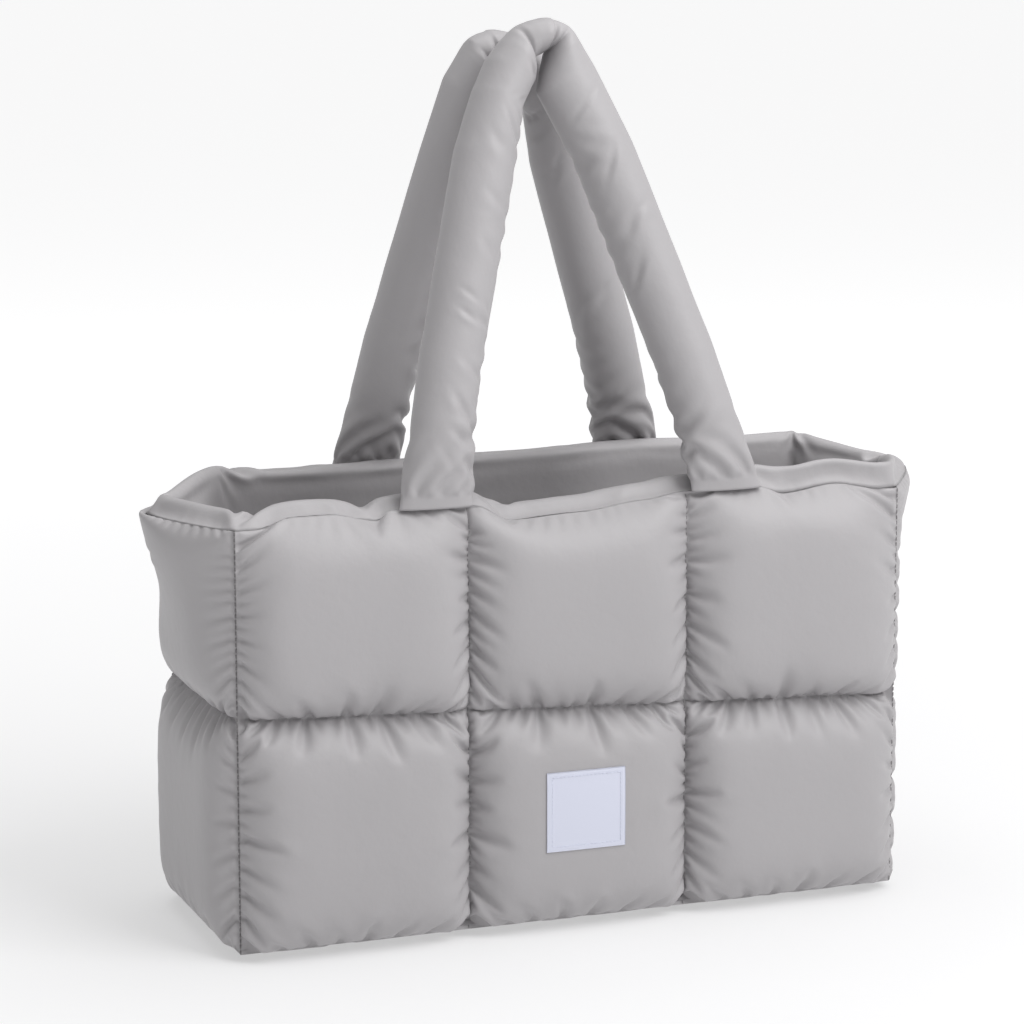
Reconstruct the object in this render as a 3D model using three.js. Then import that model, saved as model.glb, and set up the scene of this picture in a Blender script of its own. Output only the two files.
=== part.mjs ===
import * as THREE from "three";

// A quilted puffer tote bag standing open on the ground, with its two padded handles up.
// Millimetres, +Z up. The front faces -Y, and the origin is on the ground under the middle of the bag.
// Each padded wall follows the plane of its quilting seams. The puffs stand proud of that plane outside,
// and a little inside, where a thin lining covers them.

// Body, measured between seam lines
const BODY_WIDTH = 450;
const BODY_DEPTH = 150;
const RIM_HEIGHT = 281; // ground to the seam along the top of the shell
const WAIST_HEIGHT = 146; // ground to the quilting seam half way up
const WAIST_TILT = 10; // the waist seam stands this much higher at the left end, and lower at the right
const BASE_LIFT = 10; // ground to the seam round the base
const FRONT_COLUMNS = 3;

// Padding and cloth
const SEAM_THICKNESS = 6; // the padded wall where a seam pinches it
const LONG_PUFF_OUT = 22; // how far a puff's crown stands out of the seam plane, on the front, back and base
const LEFT_PUFF_OUT = 24;
const RIGHT_PUFF_OUT = 13;
const PUFF_IN = 7;
const PUFF_SLUMP = 0.3; // how far a puff hangs down, for each millimetre that it stands out
const LINING_THICKNESS = 1.5;
const SEAM_GAP = 0.3; // between pieces that are sewn together
const PUFF_STEPS = 6; // grid cells across one puff

// Mouth
const LEFT_PROW_OUT = 48; // how far each end of the mouth is pushed out, half way along the end wall
const RIGHT_PROW_OUT = 46;
const PROW_FADE = 3; // the power of the height above the waist that the prow grows with
const RIM_SAG = 11; // the deepest dip of the rim
const BACK_LEFT_PULL = 24; // the back left corner of the mouth is drawn in by this much
const BAND_HEIGHT = 15; // the standing facing band above the shell's top seam
const BAND_THICKNESS = 4;

// Handles
const TUBE_DIAMETER = 40;
const FOOT_WIDTH = 49;
const FOOT_DEPTH = 10;
const HANDLE_TOP_GAP = 1; // between the two handles where they lean together
const TUBE_SIDES = 12;

// Label
const LABEL_WIDTH = 54;
const LABEL_HEIGHT = 52;
const LABEL_THICKNESS = 0.8;
const LABEL_CENTRE_HEIGHT = 83; // above the ground
const LABEL_SHIFT = -3; // sideways from the middle of the front
const LABEL_CELLS = 6;

// How far the rim dips under its full height. at: share of the side, from the left or from the front.
// drop: share of RIM_SAG.
const FRONT_RIM_DIPS = [
  { at: 0.0, drop: 0.6 },
  { at: 0.023, drop: 0.6 },
  { at: 0.08, drop: 0.0 },
  { at: 0.13, drop: 0.0 },
  { at: 0.2, drop: 0.5 },
  { at: 0.22, drop: 0.0 },
  { at: 0.34, drop: 0.0 },
  { at: 0.4, drop: 1.0 },
  { at: 0.5, drop: 0.8 },
  { at: 0.6, drop: 0.35 },
  { at: 0.66, drop: 0.0 },
  { at: 0.78, drop: 0.0 },
  { at: 0.82, drop: 0.5 },
  { at: 0.9, drop: 0.1 },
  { at: 0.977, drop: 0.6 },
  { at: 1.0, drop: 0.6 },
];
const BACK_RIM_DIPS = [
  { at: 0.0, drop: 0.0 },
  { at: 1.0, drop: 0.0 },
];
const END_RIM_DIPS = [
  { at: 0.0, drop: 0.6 },
  { at: 0.07, drop: 0.6 },
  { at: 0.5, drop: 0.55 },
  { at: 0.93, drop: 0.0 },
  { at: 1.0, drop: 0.0 },
];

// How far the facing band leans in over the mouth, along each side. at: share of the side. lean: degrees.
const FRONT_BAND_LEANS = [
  { at: 0.0, lean: 60 },
  { at: 0.15, lean: 55 },
  { at: 0.7, lean: 50 },
  { at: 0.88, lean: 8 },
  { at: 1.0, lean: 8 },
];
const BACK_BAND_LEANS = [
  { at: 0.0, lean: 45 },
  { at: 0.15, lean: 56 },
  { at: 0.5, lean: 56 },
  { at: 0.7, lean: 45 },
  { at: 0.85, lean: 55 },
  { at: 1.0, lean: 30 },
];
const LEFT_BAND_LEANS = [
  { at: 0.0, lean: 60 },
  { at: 1.0, lean: 45 },
];
const RIGHT_BAND_LEANS = [
  { at: 0.0, lean: 8 },
  { at: 1.0, lean: 30 },
];

// The handles. spread: between the middles of the feet. rise: from the top seam to the middle of the tube at its
// highest point. shift: of the feet, sideways. lean: of the top over the feet, sideways.
const FRONT_HANDLE = { spread: 199, rise: 289, shift: 0, lean: -11 };
const BACK_HANDLE = { spread: 190, rise: 281, shift: 4, lean: -16 };

// One handle from its foot to its top. rise: share of its rise. spread: share of its half spread.
// width and depth: the tube's two diameters as shares of TUBE_DIAMETER, in the plane of the arch and across it.
const HANDLE_STATIONS = [
  { rise: 0.07, spread: 0.965, width: 1.08, depth: 0.62 },
  { rise: 0.12, spread: 0.93, width: 1.03, depth: 0.85 },
  { rise: 0.18, spread: 0.89, width: 1.0, depth: 0.98 },
  { rise: 0.31, spread: 0.795, width: 1.0, depth: 1.0 },
  { rise: 0.4, spread: 0.715, width: 0.98, depth: 1.0 },
  { rise: 0.48, spread: 0.645, width: 1.0, depth: 1.0 },
  { rise: 0.57, spread: 0.565, width: 0.99, depth: 1.0 },
  { rise: 0.66, spread: 0.485, width: 1.0, depth: 1.0 },
  { rise: 0.75, spread: 0.405, width: 0.99, depth: 1.0 },
  { rise: 0.83, spread: 0.325, width: 0.96, depth: 1.0 },
  { rise: 0.9, spread: 0.25, width: 0.88, depth: 1.0 },
  { rise: 0.95, spread: 0.19, width: 0.76, depth: 1.0 },
  { rise: 0.985, spread: 0.12, width: 0.64, depth: 1.0 },
];
const TOP_STATION = { rise: 1.0, spread: 0.0, width: 0.58, depth: 1.0 };
const FOOT_BLEND = 0.18; // share of the rise over which the sections turn from level to square on the tube

// Where the sides of the mouth lie, seen from above: -1 is left or front, 1 is right or back.
const LEFT = -1;
const RIGHT = 1;
const FRONT = -1;
const BACK = 1;

// A smooth step between the rows of a table with columns "at" and the named one.
function readTable(table, column, share) {
  const next = table.findIndex((row) => row.at >= share);
  if (next <= 0) return table[Math.max(next, 0)][column];
  const low = table[next - 1];
  const high = table[next];
  const t = (share - low.at) / (high.at - low.at);
  return low[column] + (high[column] - low[column]) * t * t * (3 - 2 * t);
}

// Height of the waist seam at a place across the bag.
function waistHeight(x) {
  return WAIST_HEIGHT - (WAIST_TILT * x) / (BODY_WIDTH / 2);
}

// A wall's height share v runs from 0 at the base seam through 1 at the waist to 2 at the rim.
function upperShare(v) {
  return Math.max(v - 1, 0);
}

// A corner of the body at height share v, seen from above.
function cornerPoint(side, face, v) {
  const pull = side === LEFT && face === BACK ? BACK_LEFT_PULL : 0;
  return {
    x: side * (BODY_WIDTH / 2 - pull * upperShare(v) ** 1.5),
    y: (face * BODY_DEPTH) / 2,
  };
}

// Height of a wall's seam plane at height share v. dips: the table of the rim over it, read at share u.
function wallHeight(x, v, dips, u) {
  const waist = waistHeight(x);
  if (v <= 1) return BASE_LIFT + (waist - BASE_LIFT) * v;
  const rim = RIM_HEIGHT - RIM_SAG * readTable(dips, "drop", u);
  return waist + (rim - waist) * (v - 1);
}

// The seam plane of the front or back wall, from the left corner (u = 0) to the right (u = 1).
function longWallPoint(face, u, v) {
  const left = cornerPoint(LEFT, face, v);
  const right = cornerPoint(RIGHT, face, v);
  const x = left.x + (right.x - left.x) * u;
  const dips = face === FRONT ? FRONT_RIM_DIPS : BACK_RIM_DIPS;
  return new THREE.Vector3(x, left.y, wallHeight(x, v, dips, u));
}

// The seam plane of an end wall, from the front corner (u = 0) to the back (u = 1). It is pushed out into a
// prow towards the mouth.
function endWallPoint(side, u, v) {
  const front = cornerPoint(side, FRONT, v);
  const back = cornerPoint(side, BACK, v);
  const prowOut = side === LEFT ? LEFT_PROW_OUT : RIGHT_PROW_OUT;
  const prow = prowOut * upperShare(v) ** PROW_FADE * (1 - Math.abs(2 * u - 1) ** 1.2);
  const x = front.x + (back.x - front.x) * u + side * prow;
  const y = front.y + (back.y - front.y) * u;
  return new THREE.Vector3(x, y, wallHeight(x, v, END_RIM_DIPS, u));
}

// The seam plane of the base, u from left to right and v from front to back.
function basePoint(u, v) {
  return new THREE.Vector3((u - 0.5) * BODY_WIDTH, (v - 0.5) * BODY_DEPTH, BASE_LIFT);
}

// 0 at a seam, 1 at the crown of a puff, for a place counted in puffs.
function crown(place) {
  const t = place - Math.floor(place);
  return (1 - Math.abs(2 * t - 1) ** 2.5) ** 0.6;
}

// How far a puff stands out inside the bag, as a share, low enough near the seams for the walls to meet.
function innerCrown(place) {
  const t = place - Math.floor(place);
  return Math.sin(Math.PI * t) ** 1.2;
}

// Grid lines over a run of puffs, closer together at the seams.
function puffLines(puffs) {
  const lines = [];
  for (let i = 0; i <= puffs * PUFF_STEPS; i++) {
    const puff = Math.floor(i / PUFF_STEPS);
    const step = (i % PUFF_STEPS) / PUFF_STEPS;
    lines.push(puff + (1 - Math.cos(Math.PI * step)) / 2);
  }
  return lines;
}

// The walls of the body. out: the direction that a wall's puffs stand out in. columns and rows: its puffs.
// puffOut: how far their crowns stand out.
// start, end, foot and head: the outward directions of the walls that it meets at its four edges.
const toFront = new THREE.Vector3(0, -1, 0);
const toBack = new THREE.Vector3(0, 1, 0);
const toLeft = new THREE.Vector3(-1, 0, 0);
const toRight = new THREE.Vector3(1, 0, 0);
const down = new THREE.Vector3(0, 0, -1);
const BODY_WALLS = {
  front: {
    puffOut: LONG_PUFF_OUT,
    columns: FRONT_COLUMNS,
    rows: 2,
    seam: (u, v) => longWallPoint(FRONT, u, 2 * v),
    out: toFront,
    edges: { start: toLeft, end: toRight, foot: down },
  },
  back: {
    puffOut: LONG_PUFF_OUT,
    columns: FRONT_COLUMNS,
    rows: 2,
    seam: (u, v) => longWallPoint(BACK, u, 2 * v),
    out: toBack,
    edges: { start: toLeft, end: toRight, foot: down },
  },
  left: {
    puffOut: LEFT_PUFF_OUT,
    columns: 1,
    rows: 2,
    seam: (u, v) => endWallPoint(LEFT, u, 2 * v),
    out: toLeft,
    edges: { start: toFront, end: toBack, foot: down },
  },
  right: {
    puffOut: RIGHT_PUFF_OUT,
    columns: 1,
    rows: 2,
    seam: (u, v) => endWallPoint(RIGHT, u, 2 * v),
    out: toRight,
    edges: { start: toFront, end: toBack, foot: down },
  },
  base: {
    puffOut: LONG_PUFF_OUT,
    columns: FRONT_COLUMNS,
    rows: 1,
    seam: basePoint,
    out: down,
    edges: { start: toLeft, end: toRight, foot: toFront, head: toBack },
  },
};

// The directions of the walls that meet at a grid point of a wall: its own, and its neighbours' on an edge.
function meetingWalls(wall, u, v) {
  const found = [];
  if (u === 0 && wall.edges.start) found.push(wall.edges.start);
  if (u === 1 && wall.edges.end) found.push(wall.edges.end);
  if (v === 0 && wall.edges.foot) found.push(wall.edges.foot);
  if (v === 1 && wall.edges.head) found.push(wall.edges.head);
  return found;
}

// A point of a wall at an offset from its seam plane. Edges are mitred with the neighbouring walls and
// stand half a gap clear of them.
function wallPoint(wall, u, v, offset, edgeOffset) {
  const point = wall.seam(u, v).addScaledVector(wall.out, offset);
  for (const direction of meetingWalls(wall, u, v)) {
    point.addScaledVector(direction, edgeOffset - SEAM_GAP / 2);
  }
  return point;
}

// A point on the outside of a wall. Puffs hang down a little, and rest on the ground.
function outerPoint(wall, u, v) {
  const puff = wall.puffOut * crown(u * wall.columns) * crown(v * wall.rows);
  const half = SEAM_THICKNESS / 2;
  if (wall.out === down) {
    const point = wallPoint(wall, u, v, half + puff, half);
    point.z = Math.max(point.z, 0);
    return point;
  }
  const point = wallPoint(wall, u, v, half + puff, half);
  point.z = Math.max(point.z - PUFF_SLUMP * puff, SEAM_GAP);
  return point;
}

// A point on the inside of a wall, or deeper in by depth.
function innerPoint(wall, u, v, depth) {
  const puff = PUFF_IN * innerCrown(u * wall.columns) * innerCrown(v * wall.rows);
  const half = SEAM_THICKNESS / 2 + depth;
  return wallPoint(wall, u, v, -half - puff, -half);
}

// A closed solid between two sheets of points on the same grid.
function sheetGeometry(us, vs, facePoint, backPoint) {
  const sheets = [facePoint, backPoint].map((pointAt) =>
    vs.map((v) => us.map((u) => pointAt(u, v))),
  );
  const positions = sheets.flat(2).flatMap((p) => [p.x, p.y, p.z]);
  const columns = us.length;
  const rows = vs.length;
  const sheetSize = columns * rows;
  const at = (sheet, row, column) => sheet * sheetSize + row * columns + column;
  const indices = [];
  const addQuad = (a, b, c, d) => indices.push(a, b, c, a, c, d);
  for (let j = 0; j < rows - 1; j++) {
    for (let i = 0; i < columns - 1; i++) {
      addQuad(at(0, j, i), at(0, j, i + 1), at(0, j + 1, i + 1), at(0, j + 1, i));
      // the same diagonal as on the face, turned to look the other way
      const [a, b, c, d] = [at(1, j, i), at(1, j, i + 1), at(1, j + 1, i + 1), at(1, j + 1, i)];
      indices.push(a, c, b, a, d, c);
    }
  }
  for (let i = 0; i < columns - 1; i++) {
    addQuad(at(1, 0, i), at(1, 0, i + 1), at(0, 0, i + 1), at(0, 0, i));
    addQuad(at(0, rows - 1, i), at(0, rows - 1, i + 1), at(1, rows - 1, i + 1), at(1, rows - 1, i));
  }
  for (let j = 0; j < rows - 1; j++) {
    addQuad(at(0, j, 0), at(0, j + 1, 0), at(1, j + 1, 0), at(1, j, 0));
    addQuad(at(1, j, columns - 1), at(1, j + 1, columns - 1), at(0, j + 1, columns - 1), at(0, j, columns - 1));
  }
  return closedGeometry(positions, indices);
}

// A geometry from a closed surface, with its faces turned to point outwards.
function closedGeometry(positions, indices) {
  const corner = (k) => new THREE.Vector3().fromArray(positions, 3 * indices[k]);
  let volume = 0;
  for (let k = 0; k < indices.length; k += 3) {
    volume += corner(k).dot(corner(k + 1).cross(corner(k + 2)));
  }
  if (volume < 0) indices.reverse();
  return new THREE.BufferGeometry()
    .setAttribute("position", new THREE.Float32BufferAttribute(positions, 3))
    .setIndex(indices);
}

// Materials, in the colours of the cloth
const shellCloth = new THREE.MeshStandardMaterial({ color: 0xb4b2b5, roughness: 0.55, metalness: 0 });
const liningCloth = new THREE.MeshStandardMaterial({ color: 0xa6a3a6, roughness: 0.6, metalness: 0 });
const labelCloth = new THREE.MeshStandardMaterial({ color: 0xdadcea, roughness: 0.5, metalness: 0 });

function piece(name, geometry, material) {
  const mesh = new THREE.Mesh(geometry, material);
  mesh.name = name;
  return mesh;
}

// The grid lines of a wall as shares of its width and height.
function wallGrid(wall) {
  return {
    us: puffLines(wall.columns).map((line) => line / wall.columns),
    vs: puffLines(wall.rows).map((line) => line / wall.rows),
  };
}

// A padded wall of the shell.
function shellPanel(name, wall) {
  const { us, vs } = wallGrid(wall);
  const outside = (u, v) => outerPoint(wall, u, v);
  const inside = (u, v) => innerPoint(wall, u, v, 0);
  return piece(name, sheetGeometry(us, vs, outside, inside), shellCloth);
}

// The lining of the same wall, a thin cloth just inside it.
function liningPanel(name, wall) {
  const { us, vs } = wallGrid(wall);
  const outside = (u, v) => innerPoint(wall, u, v, SEAM_GAP);
  const inside = (u, v) => innerPoint(wall, u, v, SEAM_GAP + LINING_THICKNESS);
  return piece(name, sheetGeometry(us, vs, outside, inside), liningCloth);
}

// The facing band along one side of the mouth. It stands on the top edges of the shell and the lining, with
// its outer face set back to leave a seat for the handles' feet.
const BAND_SET_BACK = BAND_THICKNESS / 2 + SEAM_GAP;
const CORNER_SQUEEZE = 0.05; // grid lines that would fall outside a band's mitred end keep this much spacing

// A share of a wall's length, moved to lie inside the mitred ends that an inset leaves.
function insideMitre(u, inset, length) {
  const share = (inset + 2 * SEAM_GAP) / length;
  const fromStart = Math.max(u, share + CORNER_SQUEEZE * u);
  return Math.min(fromStart, 1 - share - CORNER_SQUEEZE * (1 - u));
}

function bandPoint(wall, leans, u, heightShare, isOuter) {
  const lean = THREE.MathUtils.degToRad(readTable(leans, "lean", u));
  const height = BAND_HEIGHT * heightShare;
  const across = isOuter ? 0 : BAND_THICKNESS;
  const inward = across - BAND_SET_BACK + SEAM_THICKNESS / 2 + height * Math.sin(lean);
  const length = wall.seam(0, 1).distanceTo(wall.seam(1, 1));
  const point = wall.seam(insideMitre(u, inward, length), 1).addScaledVector(wall.out, -inward);
  point.z = wall.seam(u, 1).z + SEAM_GAP + height * Math.cos(lean);
  return point;
}

function facingBand(name, wall, leans) {
  const { us } = wallGrid(wall);
  const outside = (u, v) => bandPoint(wall, leans, u, v, true);
  const inside = (u, v) => bandPoint(wall, leans, u, v, false);
  return piece(name, sheetGeometry(us, [0, 1], outside, inside), shellCloth);
}

// A padded tube handle. Its arch lies in a plane that leans in from its feet, until the two handles meet.
function paddedHandle(name, face, { spread, rise, shift, lean }) {
  const footY = face * (BODY_DEPTH / 2 + BAND_SET_BACK - SEAM_THICKNESS / 2 + SEAM_GAP + FOOT_DEPTH / 2);
  const topY = face * (TUBE_DIAMETER + HANDLE_TOP_GAP) * 0.5;
  const footZ = RIM_HEIGHT + SEAM_GAP;
  const up = new THREE.Vector3(lean, topY - footY, RIM_HEIGHT + rise - footZ);
  const origin = new THREE.Vector3(shift, footY, footZ);
  const across = new THREE.Vector3(0, up.z, -up.y).normalize();
  const footStation = {
    rise: 0,
    spread: 1,
    width: FOOT_WIDTH / TUBE_DIAMETER,
    depth: FOOT_DEPTH / TUBE_DIAMETER,
  };
  const leftArm = [footStation, ...HANDLE_STATIONS].map((station) => ({ ...station, side: LEFT }));
  const rightArm = [...HANDLE_STATIONS].reverse().map((station) => ({ ...station, side: RIGHT }));
  const stations = [...leftArm, { ...TOP_STATION, side: LEFT }, ...rightArm, { ...footStation, side: RIGHT }];
  const middles = stations.map((station) =>
    origin
      .clone()
      .addScaledVector(up, station.rise)
      .add(new THREE.Vector3((station.side * station.spread * spread) / 2, 0, 0)),
  );
  const positions = [];
  const indices = [];
  stations.forEach((station, i) => {
    const along = middles[Math.min(i + 1, middles.length - 1)].clone().sub(middles[Math.max(i - 1, 0)]);
    const square = along.cross(across).normalize();
    const level = new THREE.Vector3(square.x < 0 ? -1 : 1, 0, 0);
    const blend = THREE.MathUtils.smoothstep(station.rise, 0, FOOT_BLEND);
    const widthAxis = level.lerp(square, blend).normalize();
    const depthAxis = new THREE.Vector3(0, 1, 0).lerp(across, blend).normalize();
    for (let k = 0; k < TUBE_SIDES; k++) {
      const angle = (2 * Math.PI * k) / TUBE_SIDES;
      const point = middles[i]
        .clone()
        .addScaledVector(widthAxis, (TUBE_DIAMETER / 2) * station.width * Math.cos(angle))
        .addScaledVector(depthAxis, (TUBE_DIAMETER / 2) * station.depth * Math.sin(angle));
      positions.push(point.x, point.y, point.z);
    }
  });
  const ring = (i, k) => i * TUBE_SIDES + (k % TUBE_SIDES);
  for (let i = 0; i < stations.length - 1; i++) {
    for (let k = 0; k < TUBE_SIDES; k++) {
      indices.push(ring(i, k), ring(i, k + 1), ring(i + 1, k + 1));
      indices.push(ring(i, k), ring(i + 1, k + 1), ring(i + 1, k));
    }
  }
  const last = stations.length - 1;
  for (let k = 1; k < TUBE_SIDES - 1; k++) {
    indices.push(ring(0, 0), ring(0, k + 1), ring(0, k));
    indices.push(ring(last, 0), ring(last, k), ring(last, k + 1));
  }
  return piece(name, closedGeometry(positions, indices), shellCloth);
}

// The square label, curved over the lower middle puff of the front.
function label() {
  const wall = BODY_WALLS.front;
  const middleU = 0.5 + LABEL_SHIFT / BODY_WIDTH;
  const middleV = (LABEL_CENTRE_HEIGHT + PUFF_SLUMP * LONG_PUFF_OUT - BASE_LIFT) / (WAIST_HEIGHT - BASE_LIFT) / 2;
  const halfU = LABEL_WIDTH / BODY_WIDTH / 2;
  const halfV = LABEL_HEIGHT / (WAIST_HEIGHT - BASE_LIFT) / 4;
  const cells = Array.from({ length: LABEL_CELLS + 1 }, (unused, i) => (2 * i) / LABEL_CELLS - 1);
  const onPuff = (clear) => (s, t) =>
    outerPoint(wall, middleU + halfU * s, middleV + halfV * t).addScaledVector(wall.out, clear);
  const geometry = sheetGeometry(cells, cells, onPuff(SEAM_GAP + LABEL_THICKNESS), onPuff(SEAM_GAP));
  return piece("label", geometry, labelCloth);
}

const tote = new THREE.Group();
for (const [side, wall] of Object.entries(BODY_WALLS)) {
  tote.add(shellPanel(`${side}_panel`, wall), liningPanel(`lining_${side}`, wall));
}
tote.add(
  facingBand("facing_front", BODY_WALLS.front, FRONT_BAND_LEANS),
  facingBand("facing_back", BODY_WALLS.back, BACK_BAND_LEANS),
  facingBand("facing_left", BODY_WALLS.left, LEFT_BAND_LEANS),
  facingBand("facing_right", BODY_WALLS.right, RIGHT_BAND_LEANS),
  paddedHandle("handle_front", FRONT, FRONT_HANDLE),
  paddedHandle("handle_back", BACK, BACK_HANDLE),
  label(),
);

export default tote;
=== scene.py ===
"""Dresses the solids of a quilted, padded tote bag in simulated cloth.

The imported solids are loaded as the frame. Each padded wall, the rim and both handles are then made as cloth
that is larger than its seams, blown up by its filling, and held at its seams. Lengths are worked out in
millimetres and put into the meshes in metres. The front faces -Y, and +Z is up.
"""

from __future__ import annotations

import logging
import math
import sys
from dataclasses import dataclass, field
from enum import Enum

import bpy
import numpy as np
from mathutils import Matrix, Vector

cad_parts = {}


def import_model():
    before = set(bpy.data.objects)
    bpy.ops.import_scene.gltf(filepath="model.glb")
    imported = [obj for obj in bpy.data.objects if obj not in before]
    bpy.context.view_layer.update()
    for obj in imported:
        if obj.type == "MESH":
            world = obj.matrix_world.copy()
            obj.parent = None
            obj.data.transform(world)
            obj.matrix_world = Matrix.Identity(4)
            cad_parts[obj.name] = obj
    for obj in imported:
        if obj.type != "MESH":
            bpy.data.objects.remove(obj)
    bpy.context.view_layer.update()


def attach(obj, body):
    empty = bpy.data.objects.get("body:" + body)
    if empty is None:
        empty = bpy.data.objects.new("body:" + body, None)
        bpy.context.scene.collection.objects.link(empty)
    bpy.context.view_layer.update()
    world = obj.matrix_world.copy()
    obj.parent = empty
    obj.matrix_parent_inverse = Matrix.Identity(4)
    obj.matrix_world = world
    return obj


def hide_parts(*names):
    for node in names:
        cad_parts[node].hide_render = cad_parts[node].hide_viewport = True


Array = np.ndarray
LOG = logging.getLogger("tote")
MM = 0.001


# Sizes


@dataclass(frozen=True)
class BagSizes:
    """The named sizes of the bag, in millimetres. They are those of the solids.

    Attributes:
        width: Between the corner seams, across the bag.
        depth: The same, from front to back.
        rim_height: Of the top seam.
        waist_height: Of the seam between the two rows of puffs, at the middle.
        waist_tilt: How much lower it is at the right corner than at the middle.
        base_lift: Height of the base's seams over the ground.
        columns: Puffs across the front.
        seam_thickness: Of a wall, at its seams.
        puff_out: How far the puffs of the front and the back stand out.
        left_puff_out: The same on the left end.
        right_puff_out: The same on the right end.
        puff_in: How far the lining's puffs stand inwards.
        end_puff_inset: How far in the end walls' crowns are set, because their cloth swells past them.
        left_prow_out: How far the left end is pushed out at the mouth.
        right_prow_out: The same on the right.
        prow_fade: The power by which a prow fades towards the waist.
        rim_sag: Deepest dip of the rim.
        back_left_pull: How far the mouth's back left corner is pulled to the right.
        band_height: Of the facing over the top seam.
        band_thickness: Of the facing.
        tube: Diameter of a handle.
        foot_depth: Thickness of a handle's flat foot.
        handle_gap: Between the handles at their tops.
        label_width: Of the patch.
        label_height: The same.
        label_height_up: Of its middle over the ground.
        label_shift: Of its middle to the right.
        gap: Between two solids that meet.
    """

    width: float = 450.0
    depth: float = 150.0
    rim_height: float = 281.0
    waist_height: float = 146.0
    waist_tilt: float = 10.0
    base_lift: float = 10.0
    columns: int = 3
    seam_thickness: float = 6.0
    puff_out: float = 22.0
    left_puff_out: float = 24.0
    right_puff_out: float = 13.0
    puff_in: float = 7.0
    end_puff_inset: float = 6.0
    left_prow_out: float = 48.0
    right_prow_out: float = 46.0
    prow_fade: float = 3.0
    rim_sag: float = 11.0
    back_left_pull: float = 24.0
    band_height: float = 15.0
    band_thickness: float = 4.0
    tube: float = 40.0
    foot_depth: float = 10.0
    handle_gap: float = 1.0
    label_width: float = 54.0
    label_height: float = 52.0
    label_height_up: float = 83.0
    label_shift: float = -3.0
    gap: float = 0.3


SIZES = BagSizes()

# How far the rim dips: share of the side, share of rim_sag.
FRONT_DIPS = np.array(
    [
        (0.0, 0.6), (0.023, 0.6), (0.08, 0.0), (0.13, 0.0), (0.2, 0.5), (0.22, 0.0), (0.34, 0.0),
        (0.4, 1.0), (0.5, 0.8), (0.6, 0.35), (0.66, 0.0), (0.78, 0.0), (0.82, 0.5), (0.9, 0.1),
        (0.977, 0.6), (1.0, 0.6),
    ]
)  # fmt: skip
BACK_DIPS = np.array([(0.0, 0.0), (1.0, 0.0)])
END_DIPS = np.array([(0.0, 0.6), (0.07, 0.6), (0.5, 0.55), (0.93, 0.0), (1.0, 0.0)])

# How far the facing band leans in over the mouth: share of the side, degrees.
FRONT_LEANS = np.array([(0.0, 66.0), (0.15, 69.0), (0.7, 64.0), (0.86, 10.0), (1.0, 8.0)])
BACK_LEANS = np.array([(0.0, 66.0), (0.15, 68.0), (0.5, 58.0), (0.7, 45.0), (0.85, 55.0), (1.0, 50.0)])
LEFT_LEANS = np.array([(0.0, 60.0), (1.0, 45.0)])
RIGHT_LEANS = np.array([(0.0, 8.0), (0.15, 20.0), (0.5, 72.0), (0.85, 66.0), (1.0, 50.0)])

# One handle from foot to top: rise, spread, width and depth as shares.
HANDLE_STATIONS = np.array(
    [
        (0.0, 1.0, 1.225, 0.25), (0.07, 0.965, 1.08, 0.62), (0.12, 0.93, 1.03, 0.85),
        (0.18, 0.89, 1.0, 0.98), (0.31, 0.795, 1.0, 1.0), (0.4, 0.715, 0.98, 1.0),
        (0.48, 0.645, 1.0, 1.0), (0.57, 0.565, 0.99, 1.0), (0.66, 0.485, 1.0, 1.0),
        (0.75, 0.405, 0.99, 1.0),
    ]
)  # fmt: skip

HANDLE_TURN = 0.18  # The share of the rise over which the section turns from level to square on the tube.

# The folded top of a handle, from its plain arm to its folded arm: x and z of the inner edge and of the outer
# edge from the peak, the depth as a share, and how firmly the shape is held.
HANDLE_CROWN = np.array(
    [
        (-18.5, -41.5, -49.6, -31.2, 1.0, 0.3),
        (-9.0, -27.0, -40.0, -12.6, 1.0, 1.0), (-8.0, -20.5, -30.5, -2.0, 1.0, 1.0),
        (-9.0, -17.5, -23.5, 4.5, 0.93, 1.0), (-9.8, -16.0, -20.5, 6.8, 0.7, 1.0),
        (-9.0, -14.0, -17.5, 8.6, 0.84, 1.0), (-6.0, -11.0, -10.6, 11.0, 0.9, 1.0),
        (-2.4, -9.5, -2.4, 12.8, 0.93, 1.0), (-0.5, -8.3, 2.5, 12.8, 0.9, 1.0),
        (0.3, -7.5, 5.0, 12.0, 0.68, 1.0), (1.2, -7.2, 9.0, 10.6, 0.8, 1.0),
        (2.0, -7.1, 13.8, 8.6, 0.76, 1.0), (2.3, -7.0, 16.3, 7.3, 0.7, 1.0),
        (1.2, -10.0, 18.5, 3.9, 0.92, 1.0), (-0.5, -15.0, 21.2, -0.5, 1.0, 1.0),
        (-3.2, -22.0, 25.5, -7.5, 1.0, 1.0), (-6.2, -33.0, 32.0, -18.0, 1.0, 0.3),
    ]
)  # fmt: skip


def lengths(vectors: Array) -> Array:
    """The lengths of vectors, 3 by anything: the root of the sum of their squares."""
    return np.sqrt((vectors**2).sum(0))


def smooth_step(share: Array) -> Array:
    """A smooth step, t t (3 - 2 t), of a share that is cut off at 0 and 1."""
    t = np.clip(share, 0, 1)
    return t * t * (3 - 2 * t)


def read_table(table: Array, share: Array) -> Array:
    """Reads a two-column table with a smooth step between its rows.

    Args:
        table: Rows of share and value, in order of share.
        share: Where to read it.

    Returns:
        The values, in the shape of share.
    """
    share = np.asarray(share, float)
    high = np.clip(np.searchsorted(table[:, 0], share), 1, len(table) - 1)
    low = high - 1
    t = (share - table[low, 0]) / (table[high, 0] - table[low, 0])
    return table[low, 1] + (table[high, 1] - table[low, 1]) * smooth_step(t)


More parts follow.
